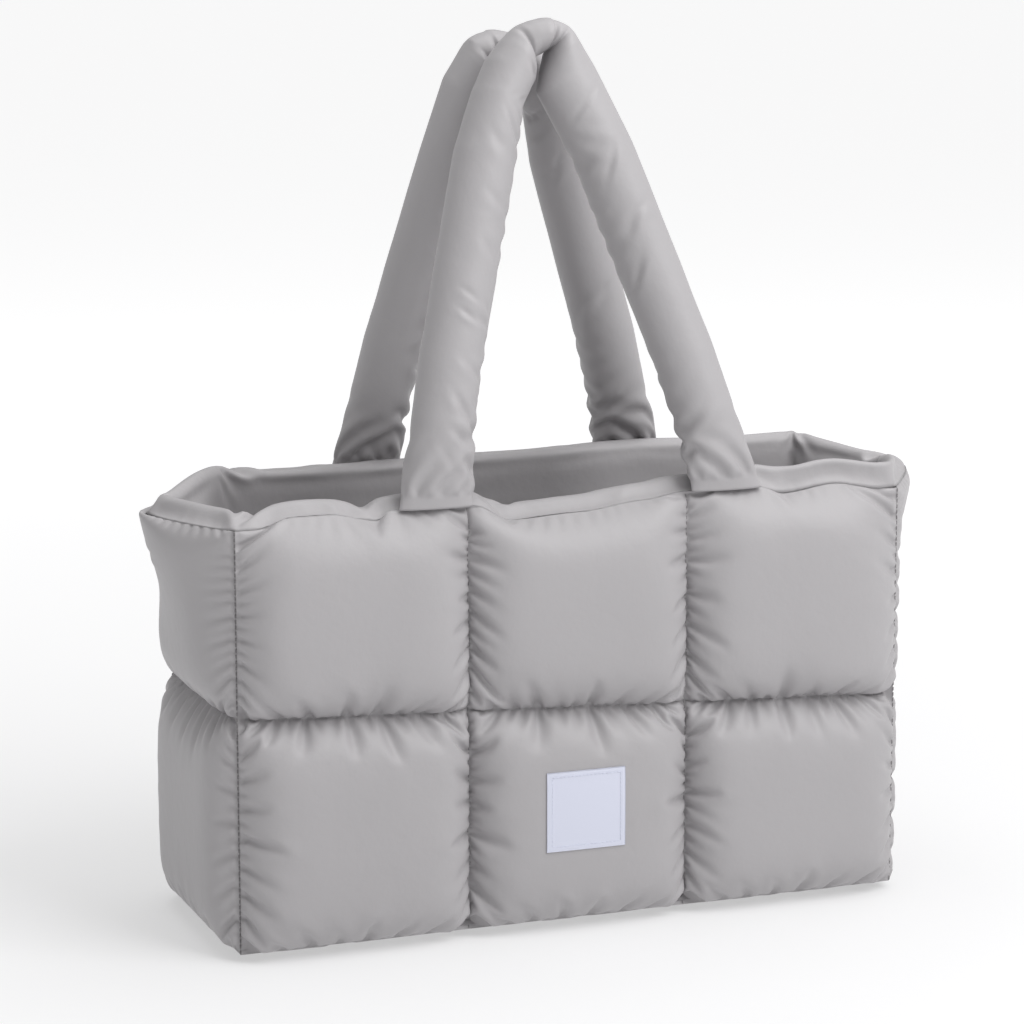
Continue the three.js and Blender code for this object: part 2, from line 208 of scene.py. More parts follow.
def smooth_noise(rng: np.random.Generator, down: Array, across: Array) -> Array:
    """Smooth random values between -1 and 1, from a lattice whose cells are one unit wide.

    Args:
        rng: The seeded source.
        down: First coordinate of each point.
        across: Second coordinate.

    Returns:
        An array of the same shape.
    """
    down, across = down - down.min(), across - across.min()
    lattice = rng.uniform(-1.0, 1.0, (int(down.max()) + 2, int(across.max()) + 2))
    i, j = down.astype(int), across.astype(int)
    a, b = smooth_step(down - i), smooth_step(across - j)
    top = lattice[i, j] * (1 - b) + lattice[i, j + 1] * b
    low = lattice[i + 1, j] * (1 - b) + lattice[i + 1, j + 1] * b
    return top * (1 - a) + low * a


# The net of seams that the walls are quilted on


class Wall(Enum):
    """A side of the bag's body."""

    FRONT = "front"
    BACK = "back"
    LEFT = "left"
    RIGHT = "right"
    BASE = "base"


@dataclass(frozen=True)
class WallFrame:
    """A wall's own directions: s runs across it, t up it, and h out of the bag.

    Attributes:
        origin: The point where s, t and h are nought.
        across: The direction of s.
        up: The direction of t.
        out: The direction of h.
    """

    origin: tuple[float, float, float]
    across: tuple[float, float, float]
    up: tuple[float, float, float]
    out: tuple[float, float, float]

    def to_world(self, points: Array) -> Array:
        """Turns points in s, t and h (3 by anything) into points in the row frame.

        Args:
            points: The wall's own coordinates.

        Returns:
            An array of the same shape: origin + s across + t up + h out.
        """
        axes = np.array([self.across, self.up, self.out], float)
        moved = np.tensordot(axes.T, points, axes=(1, 0))
        return moved + np.array(self.origin, float).reshape(3, *([1] * (points.ndim - 1)))


HALF_WIDTH = SIZES.width / 2
HALF_DEPTH = SIZES.depth / 2

# How far out of the wall's seams the middle of a handle's foot is.
FOOT_OUT = (SIZES.band_thickness - SIZES.seam_thickness + SIZES.foot_depth) / 2 + 2 * SIZES.gap

WALL_FRAMES = {
    Wall.FRONT: WallFrame((0, -HALF_DEPTH, 0), (1, 0, 0), (0, 0, 1), (0, -1, 0)),
    Wall.BACK: WallFrame((0, HALF_DEPTH, 0), (1, 0, 0), (0, 0, 1), (0, 1, 0)),
    Wall.LEFT: WallFrame((-HALF_WIDTH, 0, 0), (0, 1, 0), (0, 0, 1), (-1, 0, 0)),
    Wall.RIGHT: WallFrame((HALF_WIDTH, 0, 0), (0, 1, 0), (0, 0, 1), (1, 0, 0)),
    Wall.BASE: WallFrame((0, 0, SIZES.base_lift), (1, 0, 0), (0, 1, 0), (0, 0, -1)),
}


@dataclass(frozen=True)
class SeamNet:
    """Where the quilting seams of the body lie, as smooth functions over each wall."""

    sizes: BagSizes = SIZES

    def height(self, x: Array, v: Array, dips: Array, u: Array) -> Array:
        """Height over the ground at height share v: straight from base to waist, and from waist to rim.

        Args:
            x: Place across the bag, which the waist tilts over.
            v: 0 at the base seam, 1 at the waist, 2 at the rim.
            dips: The table of the rim above.
            u: Share along the wall, which the table is read at.

        Returns:
            The height, in the shape of the arguments.
        """
        s = self.sizes
        waist = s.waist_height - s.waist_tilt * x / (s.width / 2)
        rim = s.rim_height - s.rim_sag * read_table(dips, u)
        low = s.base_lift + (waist - s.base_lift) * np.minimum(v, 1)
        return low + (rim - waist) * np.maximum(v - 1, 0)

    def local(self, wall: Wall, u: Array, v: Array) -> Array:
        """The seam surface of a wall in its own directions.

        Args:
            wall: Which wall.
            u: Share across it, from the left or the front.
            v: From 0 at the foot to 2 at the rim, or from 0 to 1 over the base.

        Returns:
            3 by the shape of u: s, t and h.
        """
        s = self.sizes
        upper = np.maximum(v - 1, 0)
        pull = s.back_left_pull * upper**1.5
        if wall is Wall.BASE:
            return np.stack([(u - 0.5) * s.width, (v - 0.5) * s.depth, np.zeros_like(u)])
        if wall in (Wall.FRONT, Wall.BACK):
            left = -s.width / 2 + (pull if wall is Wall.BACK else 0.0)
            x = left + (s.width / 2 - left) * u
            dips = FRONT_DIPS if wall is Wall.FRONT else BACK_DIPS
            return np.stack([x, self.height(x, v, dips, u), np.zeros_like(u)])
        side = -1.0 if wall is Wall.LEFT else 1.0
        prow_out = s.left_prow_out if wall is Wall.LEFT else s.right_prow_out
        prow = prow_out * upper**s.prow_fade * (1 - np.abs(2 * u - 1) ** 1.2)
        inward = pull * u if wall is Wall.LEFT else 0.0
        h = prow - inward
        x = side * (s.width / 2 + h)
        return np.stack([(u - 0.5) * s.depth, self.height(x, v, END_DIPS, u), h])


NET = SeamNet()


# Cloth


STANDARD_CELL = 5.0  # The size of cell, in millimetres, that the pushes are given for.
CROWN_FADE = 3.0  # The filling's push dies away over this height below its crown, in millimetres.
PATH_PULL = 0.5  # The share of the way that a tube's rows are pulled to its middle line in each sweep.
START_SHAKE = 0.1  # How unevenly the cloth starts, in millimetres, so that its folds are free to choose.


@dataclass(frozen=True)
class ClothSettings:
    """How a piece of cloth behaves, for a cell of the standard size. Pushes are in mm for each step.

    Attributes:
        pressure: Push of the filling along the surface's normal.
        weight: Push downwards, along -t.
        stiffness: Share of a fold that one sweep takes out.
        shear: Strength of the diagonal threads.
        damping: Share of the speed that is left after a step.
        sweeps: Sweeps over the threads in each step.
    """

    pressure: float = 0.03
    weight: float = 0.004
    stiffness: float = 0.02
    shear: float = 0.15
    damping: float = 0.93
    sweeps: int = 3


@dataclass
class Cloth:
    """A grid of threads that is pushed by its filling and held at its seams.

    Each step moves the points by their speed and by the pushes, and then sweeps over the threads: every
    pair of neighbours is moved to its own length, along, across and on both diagonals, and a fourth
    difference along each line of the grid takes out the sharpest folds.

    Attributes:
        points: 3 by rows by columns, in the wall's own directions.
        across: Thread lengths between columns, rows by columns (wrapping) or columns less one.
        along: Thread lengths between rows.
        pinned: Points that are held.
        creases_across: Columns that the cloth may crease on, where it doesn't wrap.
        creases_along: Rows that the cloth may crease on.
        wraps: Whether the last column joins the first.
        cell: Size of a cell, which the pushes are scaled by.
        settings: How it behaves.
        bounds: The room of each point, or None.
        crown: Height at which the filling stops pushing.
        keep_shape: A shape that the points are pulled to.
        keep: Share of the way that they are pulled in each sweep.
        path: The middle line that each row's middle is pulled to, for a tube.
    """

    points: Array
    across: Array
    along: Array
    pinned: Array
    creases_across: tuple[int, ...] = ()
    creases_along: tuple[int, ...] = ()
    wraps: bool = False
    cell: float = 5.0
    settings: ClothSettings = field(default_factory=ClothSettings)
    bounds: CellBounds | None = None
    crown: Array | None = None
    keep_shape: Array | None = None
    keep: Array | float = 0.0
    path: Array | None = None

    def normals(self) -> Array:
        """Unit normals: the cross product of the slopes along the columns and the rows."""
        x = self.points
        if self.wraps:
            du = np.roll(x, -1, 2) - np.roll(x, 1, 2)
        else:
            du = np.empty_like(x)
            du[:, :, 1:-1] = x[:, :, 2:] - x[:, :, :-2]
            du[:, :, 0] = x[:, :, 1] - x[:, :, 0]
            du[:, :, -1] = x[:, :, -1] - x[:, :, -2]
        dv = np.empty_like(x)
        dv[:, 1:-1] = x[:, 2:] - x[:, :-2]
        dv[:, 0] = x[:, 1] - x[:, 0]
        dv[:, -1] = x[:, -1] - x[:, -2]
        n = np.stack(
            [
                du[1] * dv[2] - du[2] * dv[1],
                du[2] * dv[0] - du[0] * dv[2],
                du[0] * dv[1] - du[1] * dv[0],
            ]
        )
        return n / np.maximum(np.sqrt((n * n).sum(0)), 1e-9)

    def _pull(self, a: Array, b: Array, length: Array, strength: float) -> None:
        """Moves two views of the points, in place, to their length apart.

        Args:
            a: One end of each thread.
            b: The other end.
            length: The threads' lengths.
            strength: Share of the error that is taken out.
        """
        d = b - a
        size = np.sqrt(d[0] * d[0] + d[1] * d[1] + d[2] * d[2])
        d *= (0.5 * strength) * (1.0 - length / np.maximum(size, 1e-6))
        a += d
        b -= d

    def _sweep_across(self) -> None:
        """One sweep over the threads between columns, even pairs first and odd pairs after."""
        x, length = self.points, self.across
        n = x.shape[2]
        even = (n // 2) * 2
        self._pull(x[:, :, 0:even:2], x[:, :, 1:even:2], length[:, 0 : even - 1 : 2], 1.0)
        if self.wraps:
            turned = np.roll(x, -1, 2)
            self._pull(turned[:, :, 0::2], turned[:, :, 1::2], length[:, 1::2], 1.0)
            self.points = np.roll(turned, 1, 2)
            return
        odd = ((n - 1) // 2) * 2
        self._pull(x[:, :, 1 : odd + 1 : 2], x[:, :, 2 : odd + 1 : 2], length[:, 1:odd:2], 1.0)

    def _sweep_along(self) -> None:
        """One sweep over the threads between rows, even pairs first and odd pairs after."""
        x, length = self.points, self.along
        n = x.shape[1]
        even, odd = (n // 2) * 2, ((n - 1) // 2) * 2
        self._pull(x[:, 0:even:2], x[:, 1:even:2], length[0 : even - 1 : 2], 1.0)
        self._pull(x[:, 1 : odd + 1 : 2], x[:, 2 : odd + 1 : 2], length[1:odd:2], 1.0)

    def _sweep_diagonals(self) -> None:
        """One softer sweep over both diagonals of each cell."""
        x = self.points
        across = self.across[:, : x.shape[2] - 1]
        length = np.hypot(0.5 * (across[1:] + across[:-1]), 0.5 * (self.along[:, 1:] + self.along[:, :-1]))
        for first in (0, 1):
            rows = slice(first, x.shape[1] - 1, 2)
            after = slice(first + 1, x.shape[1], 2)
            self._pull(x[:, rows, :-1], x[:, after, 1:], length[rows], self.settings.shear)
            self._pull(x[:, rows, 1:], x[:, after, :-1], length[rows], self.settings.shear)

    def _unfold(self) -> None:
        """Takes a share of the sharpest folds out, by a fourth difference along each line of the grid."""
        x, k = self.points, self.settings.stiffness
        bend = np.zeros_like(x)
        second = x[:, 2:] - 2 * x[:, 1:-1] + x[:, :-2]
        for row in self.creases_along:
            if 0 < row < x.shape[1] - 1:
                second[:, row - 1] = 0
        bend[:, 1:-1] += 2 * second
        bend[:, 2:] -= second
        bend[:, :-2] -= second
        if self.wraps:
            second = np.roll(x, -1, 2) - 2 * x + np.roll(x, 1, 2)
            bend += 2 * second - np.roll(second, 1, 2) - np.roll(second, -1, 2)
        else:
            second = x[:, :, 2:] - 2 * x[:, :, 1:-1] + x[:, :, :-2]
            for column in self.creases_across:
                if 0 < column < x.shape[2] - 1:
                    second[:, :, column - 1] = 0
            bend[:, :, 1:-1] += 2 * second
            bend[:, :, 2:] -= second
            bend[:, :, :-2] -= second
        x += k * bend

    def _hold(self, pins: Array) -> None:
        """Keeps the points in their room, on their path, near their first shape, and at their pins."""
        if self.bounds is not None:
            self.bounds.apply(self.points)
        if self.keep_shape is not None:
            self.points += self.keep * (self.keep_shape - self.points)
        if self.path is not None:
            self.points += PATH_PULL * (self.path - self.points.mean(2))[:, :, None]
        self.points[:, self.pinned] = pins

    def relax(self, steps: int) -> None:
        """Lets the cloth find its shape.

        Args:
            steps: How many steps it takes.
        """
        scale = (self.cell / STANDARD_CELL) ** 2
        x = self.points
        pins = x[:, self.pinned].copy()
        before = x.copy()
        for _ in range(steps):
            x = self.points
            speed = (x - before) * self.settings.damping
            before = x.copy()
            push = self.settings.pressure * scale
            if self.crown is not None:
                push = push * np.clip((self.crown - x[2]) / CROWN_FADE, -0.5, 1.0)
            x += speed + self.normals() * push
            x[1] -= self.settings.weight * scale
            for _ in range(self.settings.sweeps):
                self._sweep_across()
                self._sweep_along()
                self._sweep_diagonals()
                self._unfold()
                self._hold(pins)


@dataclass
class CellBounds:
    """The room of each point: its own puff's, between the seam planes around it.

    Attributes:
        s_low: Lowest s of each point, before its slope.
        s_high: Highest s.
        t_low: Lowest t.
        t_high: Highest t.
        s_slope_low: How much lower s may be for each mm that the point stands out.
        s_slope_high: How much higher.
        t_slope_low: How much lower t may be for each mm.
        t_slope_high: How much higher, which is less than nought where a puff hangs over a seam.
        h_seam: The seams' own height.
        ground: Lowest t of all, for a wall that stands on the ground, or None.
        roof: Highest h of all, for the base on the ground, or None.
    """

    s_low: Array
    s_high: Array
    t_low: Array
    t_high: Array
    s_slope_low: Array
    s_slope_high: Array
    t_slope_low: Array
    t_slope_high: Array
    h_seam: Array
    ground: float | None = None
    roof: float | None = None

    def apply(self, x: Array) -> None:
        """Moves the points into their room, in place.

        Args:
            x: 3 by rows by columns.
        """
        stand = np.maximum(x[2] - self.h_seam, 0)
        low, high = self.s_low - self.s_slope_low * stand, self.s_high + self.s_slope_high * stand
        np.clip(x[0], low, high, out=x[0])
        low, high = self.t_low - self.t_slope_low * stand, self.t_high + self.t_slope_high * stand
        np.clip(x[1], low, high, out=x[1])
        if self.ground is not None:
            np.maximum(x[1], self.ground, out=x[1])
        if self.roof is not None:
            np.minimum(x[2], self.roof, out=x[2])


def finer(values: Array, axis: int, wraps: bool = False) -> Array:
    """Puts a new value half way between each two along an axis.

    Args:
        values: The values on the grid's points.
        axis: Which axis.
        wraps: Whether the last joins the first.

    Returns:
        Twice as many values, less one unless it wraps.
    """
    x = np.moveaxis(values, axis, 0)
    after = np.roll(x, -1, 0) if wraps else x[1:]
    middle = 0.5 * (x[: len(after)] + after)
    out = np.empty((len(x) + len(middle), *x.shape[1:]), x.dtype)
    out[0::2], out[1::2] = x, middle
    return np.moveaxis(out, 0, axis)


# Meshes


@dataclass
class GridMesh:
    """A mesh of one or more grids, built from whole arrays.

    Attributes:
        name: The piece's name.
        corners: Lists of points, 3 by anything, in millimetres.
        faces: Lists of faces, each an array of corner numbers.
        uvs: Lists of surface coordinates, in millimetres, one for each point.
        count: How many points there are.
    """

    name: str
    corners: list[Array] = field(default_factory=list)
    faces: list[Array] = field(default_factory=list)
    uvs: list[Array] = field(default_factory=list)
    count: int = 0

    def add_points(self, points: Array, uv: Array | None = None) -> int:
        """Adds points and says at which number they start.

        Args:
            points: 3 by anything.
            uv: 2 by the same, or None for nought.

        Returns:
            The number of the first one.
        """
        flat = points.reshape(3, -1)
        start = self.count
        self.corners.append(flat)
        self.uvs.append(np.zeros((2, flat.shape[1])) if uv is None else uv.reshape(2, -1))
        self.count += flat.shape[1]
        return start

    def add_grid(self, points: Array, wrap_rows: bool = False, wrap_cols: bool = False,
                 uv: Array | None = None, flip: bool = False) -> Array:  # fmt: skip
        """Adds a grid of points with its faces.

        Args:
            points: 3 by rows by columns.
            wrap_rows: Whether the last row joins the first.
            wrap_cols: Whether the last column joins the first.
            uv: 2 by rows by columns.
            flip: Turns the faces over.

        Returns:
            The numbers of its points, rows by columns.
        """
        rows, cols = points.shape[1:]
        numbers = self.add_points(points, uv) + np.arange(rows * cols).reshape(rows, cols)
        ring = numbers
        if wrap_rows:
            ring = np.vstack([ring, ring[:1]])
        if wrap_cols:
            ring = np.hstack([ring, ring[:, :1]])
        quads = np.stack([ring[:-1, :-1], ring[:-1, 1:], ring[1:, 1:], ring[1:, :-1]], -1).reshape(-1, 4)
        self.faces.append(quads[:, ::-1] if flip else quads)
        return numbers

    def add_strip(self, first: Array, second: Array) -> None:
        """Adds quads between two loops of point numbers.

        Args:
            first: One loop.
            second: The other, of the same length.
        """
        a, b = np.append(first, first[0]), np.append(second, second[0])
        self.faces.append(np.stack([a[:-1], a[1:], b[1:], b[:-1]], -1))

    def add_fan(self, loop: Array, centre: int) -> None:
        """Adds triangles from each edge of a loop to one point.

        Args:
            loop: The loop's point numbers.
            centre: The point's number.
        """
        after = np.roll(loop, -1)
        self.faces.append(np.stack([loop, after, np.full_like(loop, centre)], -1))

    def build(self, material: bpy.types.Material) -> bpy.types.Object:
        """Makes the object, in metres, with smooth faces, and links it to the scene.

        Args:
            material: Its finish.

        Returns:
            The new object.
        """
        points = (np.concatenate(self.corners, 1).T * MM).astype(np.float32)
        uv = np.concatenate(self.uvs, 1).T * MM
        sizes = np.concatenate([np.full(len(f), f.shape[1]) for f in self.faces])
        loops = np.concatenate([f.reshape(-1) for f in self.faces]).astype(np.int32)
        starts = np.concatenate([[0], np.cumsum(sizes)[:-1]]).astype(np.int32)
        mesh = bpy.data.meshes.new(self.name)
        mesh.vertices.add(len(points))
        mesh.vertices.foreach_set("co", points.ravel())
        mesh.loops.add(len(loops))
        mesh.loops.foreach_set("vertex_index", loops)
        mesh.polygons.add(len(sizes))
        mesh.polygons.foreach_set("loop_start", starts)
        mesh.update(calc_edges=True)
        layer = mesh.uv_layers.new(name="Cloth")
        layer.data.foreach_set("uv", uv[loops].astype(np.float32).ravel())
        mesh.polygons.foreach_set("use_smooth", np.ones(len(sizes), bool))
        mesh.validate()
        turn_outwards(mesh)
        mesh.materials.append(material)
        piece = bpy.data.objects.new(self.name, mesh)
        bpy.context.scene.collection.objects.link(piece)
        return piece


def turn_outwards(mesh: bpy.types.Mesh) -> None:
    """Turns a closed mesh's faces over if its volume, summed over its faces, is less than nought.

    Args:
        mesh: The mesh.
    """
    mesh.calc_loop_triangles()
    corners = np.empty(len(mesh.vertices) * 3, np.float32)
    mesh.vertices.foreach_get("co", corners)
    corners = corners.reshape(-1, 3).astype(float)
    numbers = np.empty(len(mesh.loop_triangles) * 3, np.int32)
    mesh.loop_triangles.foreach_get("vertices", numbers)
    a, b, c = (corners[numbers.reshape(-1, 3)[:, k]] for k in range(3))
    if (a * np.cross(b, c)).sum() < 0:
        mesh.flip_normals()


# Finishes


@dataclass(frozen=True)
class ClothFinish:
    """A smooth woven cloth: its colour, gloss and fine relief.

    Attributes:
        name: The material's name.
        colour: Linear red, green and blue.
        roughness: Of the cloth's gloss.
        sheen: Strength of its sheen.
        crumple: Depth of the fine creases in metres.
    """

    name: str
    colour: tuple[float, float, float]
    roughness: float = 0.5
    sheen: float = 0.12
    crumple: float = 0.00025

    def build(self) -> bpy.types.Material:
        """Makes the material.

        Returns:
            The new material.
        """
        material = bpy.data.materials.new(self.name)
        material.use_nodes = True
        tree = material.node_tree
        shader = tree.nodes["Principled BSDF"]
        shader.inputs["Roughness"].default_value = self.roughness
        shader.inputs["Sheen Weight"].default_value = self.sheen
        shader.inputs["Sheen Roughness"].default_value = 0.4
        shader.inputs["Specular IOR Level"].default_value = 0.45
        place = tree.nodes.new("ShaderNodeTexCoord")
        tone = self._noise(tree, place, 9.0, 3.0)
        ramp = tree.nodes.new("ShaderNodeMix")
        ramp.data_type = "RGBA"
        r, g, b = self.colour
        ramp.inputs[6].default_value = (r * 0.95, g * 0.95, b * 0.95, 1)
        ramp.inputs[7].default_value = (min(r * 1.05, 1), min(g * 1.05, 1), min(b * 1.05, 1), 1)
        tree.links.new(tone, ramp.inputs[0])
        tree.links.new(ramp.outputs[2], shader.inputs["Base Color"])
        fine = self._noise(tree, place, 160.0, 4.0)
        broad = self._noise(tree, place, 45.0, 3.0)
        bump = self._bump(tree, broad, self.crumple * 2.0, None)
        bump = self._bump(tree, fine, self.crumple, bump)
        tree.links.new(bump, shader.inputs["Normal"])
        return material

    def _noise(self, tree: bpy.types.NodeTree, place: bpy.types.Node, scale: float,
               detail: float) -> bpy.types.NodeSocket:  # fmt: skip
        """Noise over the piece's own coordinates.

        Args:
            tree: Where it goes.
            place: The coordinates' node.
            scale: Of the noise, for each metre.
            detail: Of the noise.

        Returns:
            Its value.
        """
        noise = tree.nodes.new("ShaderNodeTexNoise")
        noise.inputs["Scale"].default_value = scale
        noise.inputs["Detail"].default_value = detail
        tree.links.new(place.outputs["Object"], noise.inputs["Vector"])
        return noise.outputs["Fac"]

    def _bump(self, tree: bpy.types.NodeTree, height: bpy.types.NodeSocket, depth: float,
              under: bpy.types.NodeSocket | None) -> bpy.types.NodeSocket:  # fmt: skip
        """A bump on top of another.

        Args:
            tree: Where it goes.
            height: The relief.
            depth: Of the relief, in metres.
            under: The normal of the bump below, or None.

        Returns:
            The new normal.
        """
        bump = tree.nodes.new("ShaderNodeBump")
        bump.inputs["Distance"].default_value = depth
        bump.inputs["Strength"].default_value = 1.0
        tree.links.new(height, bump.inputs["Height"])
        if under is not None:
            tree.links.new(under, bump.inputs["Normal"])
        return bump.outputs["Normal"]


SHELL_FINISH = ClothFinish("shell_cloth", (0.393, 0.380, 0.390))
# The lining is the shell's cloth; its colour is a little lighter than the shell's so that the shaded inside
# comes out brighter: painted light.
LIGHTENED_LINING_FINISH = ClothFinish("lightened_lining_cloth", (0.415, 0.402, 0.412), roughness=0.55, crumple=0.0002)
LABEL_FINISH = ClothFinish("label_cloth", (0.63, 0.65, 0.76), roughness=0.6, crumple=0.00005)
THREAD_FINISH = ClothFinish("thread", (0.22, 0.21, 0.215), roughness=0.6, crumple=0.00002)


# The padded walls


@dataclass(frozen=True)
class Ridges:
    """The first small creases beside the seams of one direction, in millimetres.

    They are noise that is fine along the seams and coarse away from them. They fade away from the seams over
    a reach that varies from place to place.

    Attributes:
        reach: Over which they fade.
        vary: How much the reach varies, up and down.
        patch: Height and width of the patches that the reach varies over.
        cell: Height and width of the noise's cells.
        slant: How far they rise, for each mm away from the seam.
        start: Over which they rise out of the seam.
    """

    reach: float
    vary: float
    patch: tuple[float, float]
    cell: tuple[float, float]
    slant: float = 0.0
    start: float = 1.5

    def heights(self, rng: np.random.Generator, seams: Array, away: Array) -> Array:
        """The noise, times e^(-away / reach) (1 - e^(-away / start)).

        Args:
            rng: The seeded source.
            seams: The seam surface.
            away: How far each point is from the seams.

        Returns:
            Heights, about from -1 to 1.
        """
        across, up = seams[0], seams[1]
        reach = self.reach + self.vary * smooth_noise(rng, up / self.patch[0], across / self.patch[1])
        ridges = smooth_noise(rng, (up + self.slant * away) / self.cell[0], across / self.cell[1])
        return ridges * (np.exp(-away / reach) * (1 - np.exp(-away / self.start)))


UPWARD_SEAM_RIDGES = Ridges(17.0, 11.5, patch=(22.0, 150.0), cell=(3.4, 45.0), slant=0.4)
LEVEL_SEAM_RIDGES = Ridges(9.0, 5.0, patch=(150.0, 20.0), cell=(45.0, 4.2))


@dataclass(frozen=True)
class Quilting:
    """How one wall is quilted, and how full it is.

    Attributes:
        wall: Which wall.
        columns: Puffs across.
        rows: Puffs up.
        cells: Grid cells across one puff, at the finest.
        levels: How many times the grid is made finer on the way.
        puff: How far a crown stands out.
        spare_across: Spare cloth between seams, as a share.
        spare_along: The same, upwards.
        seam_out: How far the seams stand out of the seam surface.
        gather: Extra cloth close to the seams, along them, as a share.
        gather_reach: Over which it fades.
        tight_top: How much less spare cloth there is across at the top, as a share.
        hang: How far a puff hangs over the seam below it, for each mm that it stands out.
        tuft: How far the crossings of inner seams are sunk.
        crease: Height of the first small creases beside the seams.
        pressure: Push of the filling.
        weight: The same, downwards.
        upper_share: Height of the upper puffs, as a share.
        steps: Steps at each level, from the coarsest.
        stiffness: Of the cloth at each level.
        keep: How firmly it is held to its first shape at each level.
        seed: Of its unevenness.
    """

    wall: Wall
    columns: int
    rows: int
    cells: int = 120
    levels: int = 3
    puff: float = 22.0
    spare_across: float = 0.105
    spare_along: float = 0.105
    gather: float = 0.14
    gather_reach: float = 8.0
    tight_top: float = 0.7
    seam_out: float = 2.0
    hang: float = 0.5
    tuft: float = 3.0
    crease: float = 1.1
    pressure: float = 0.045
    weight: float = 0.011
    upper_share: float = 1.0
    steps: tuple[int, ...] = (260, 200, 160)
    stiffness: tuple[float, ...] = (0.05, 0.025, 0.007)
    keep: tuple[float, ...] = (0.004, 0.002, 0.0)
    seed: int = 1


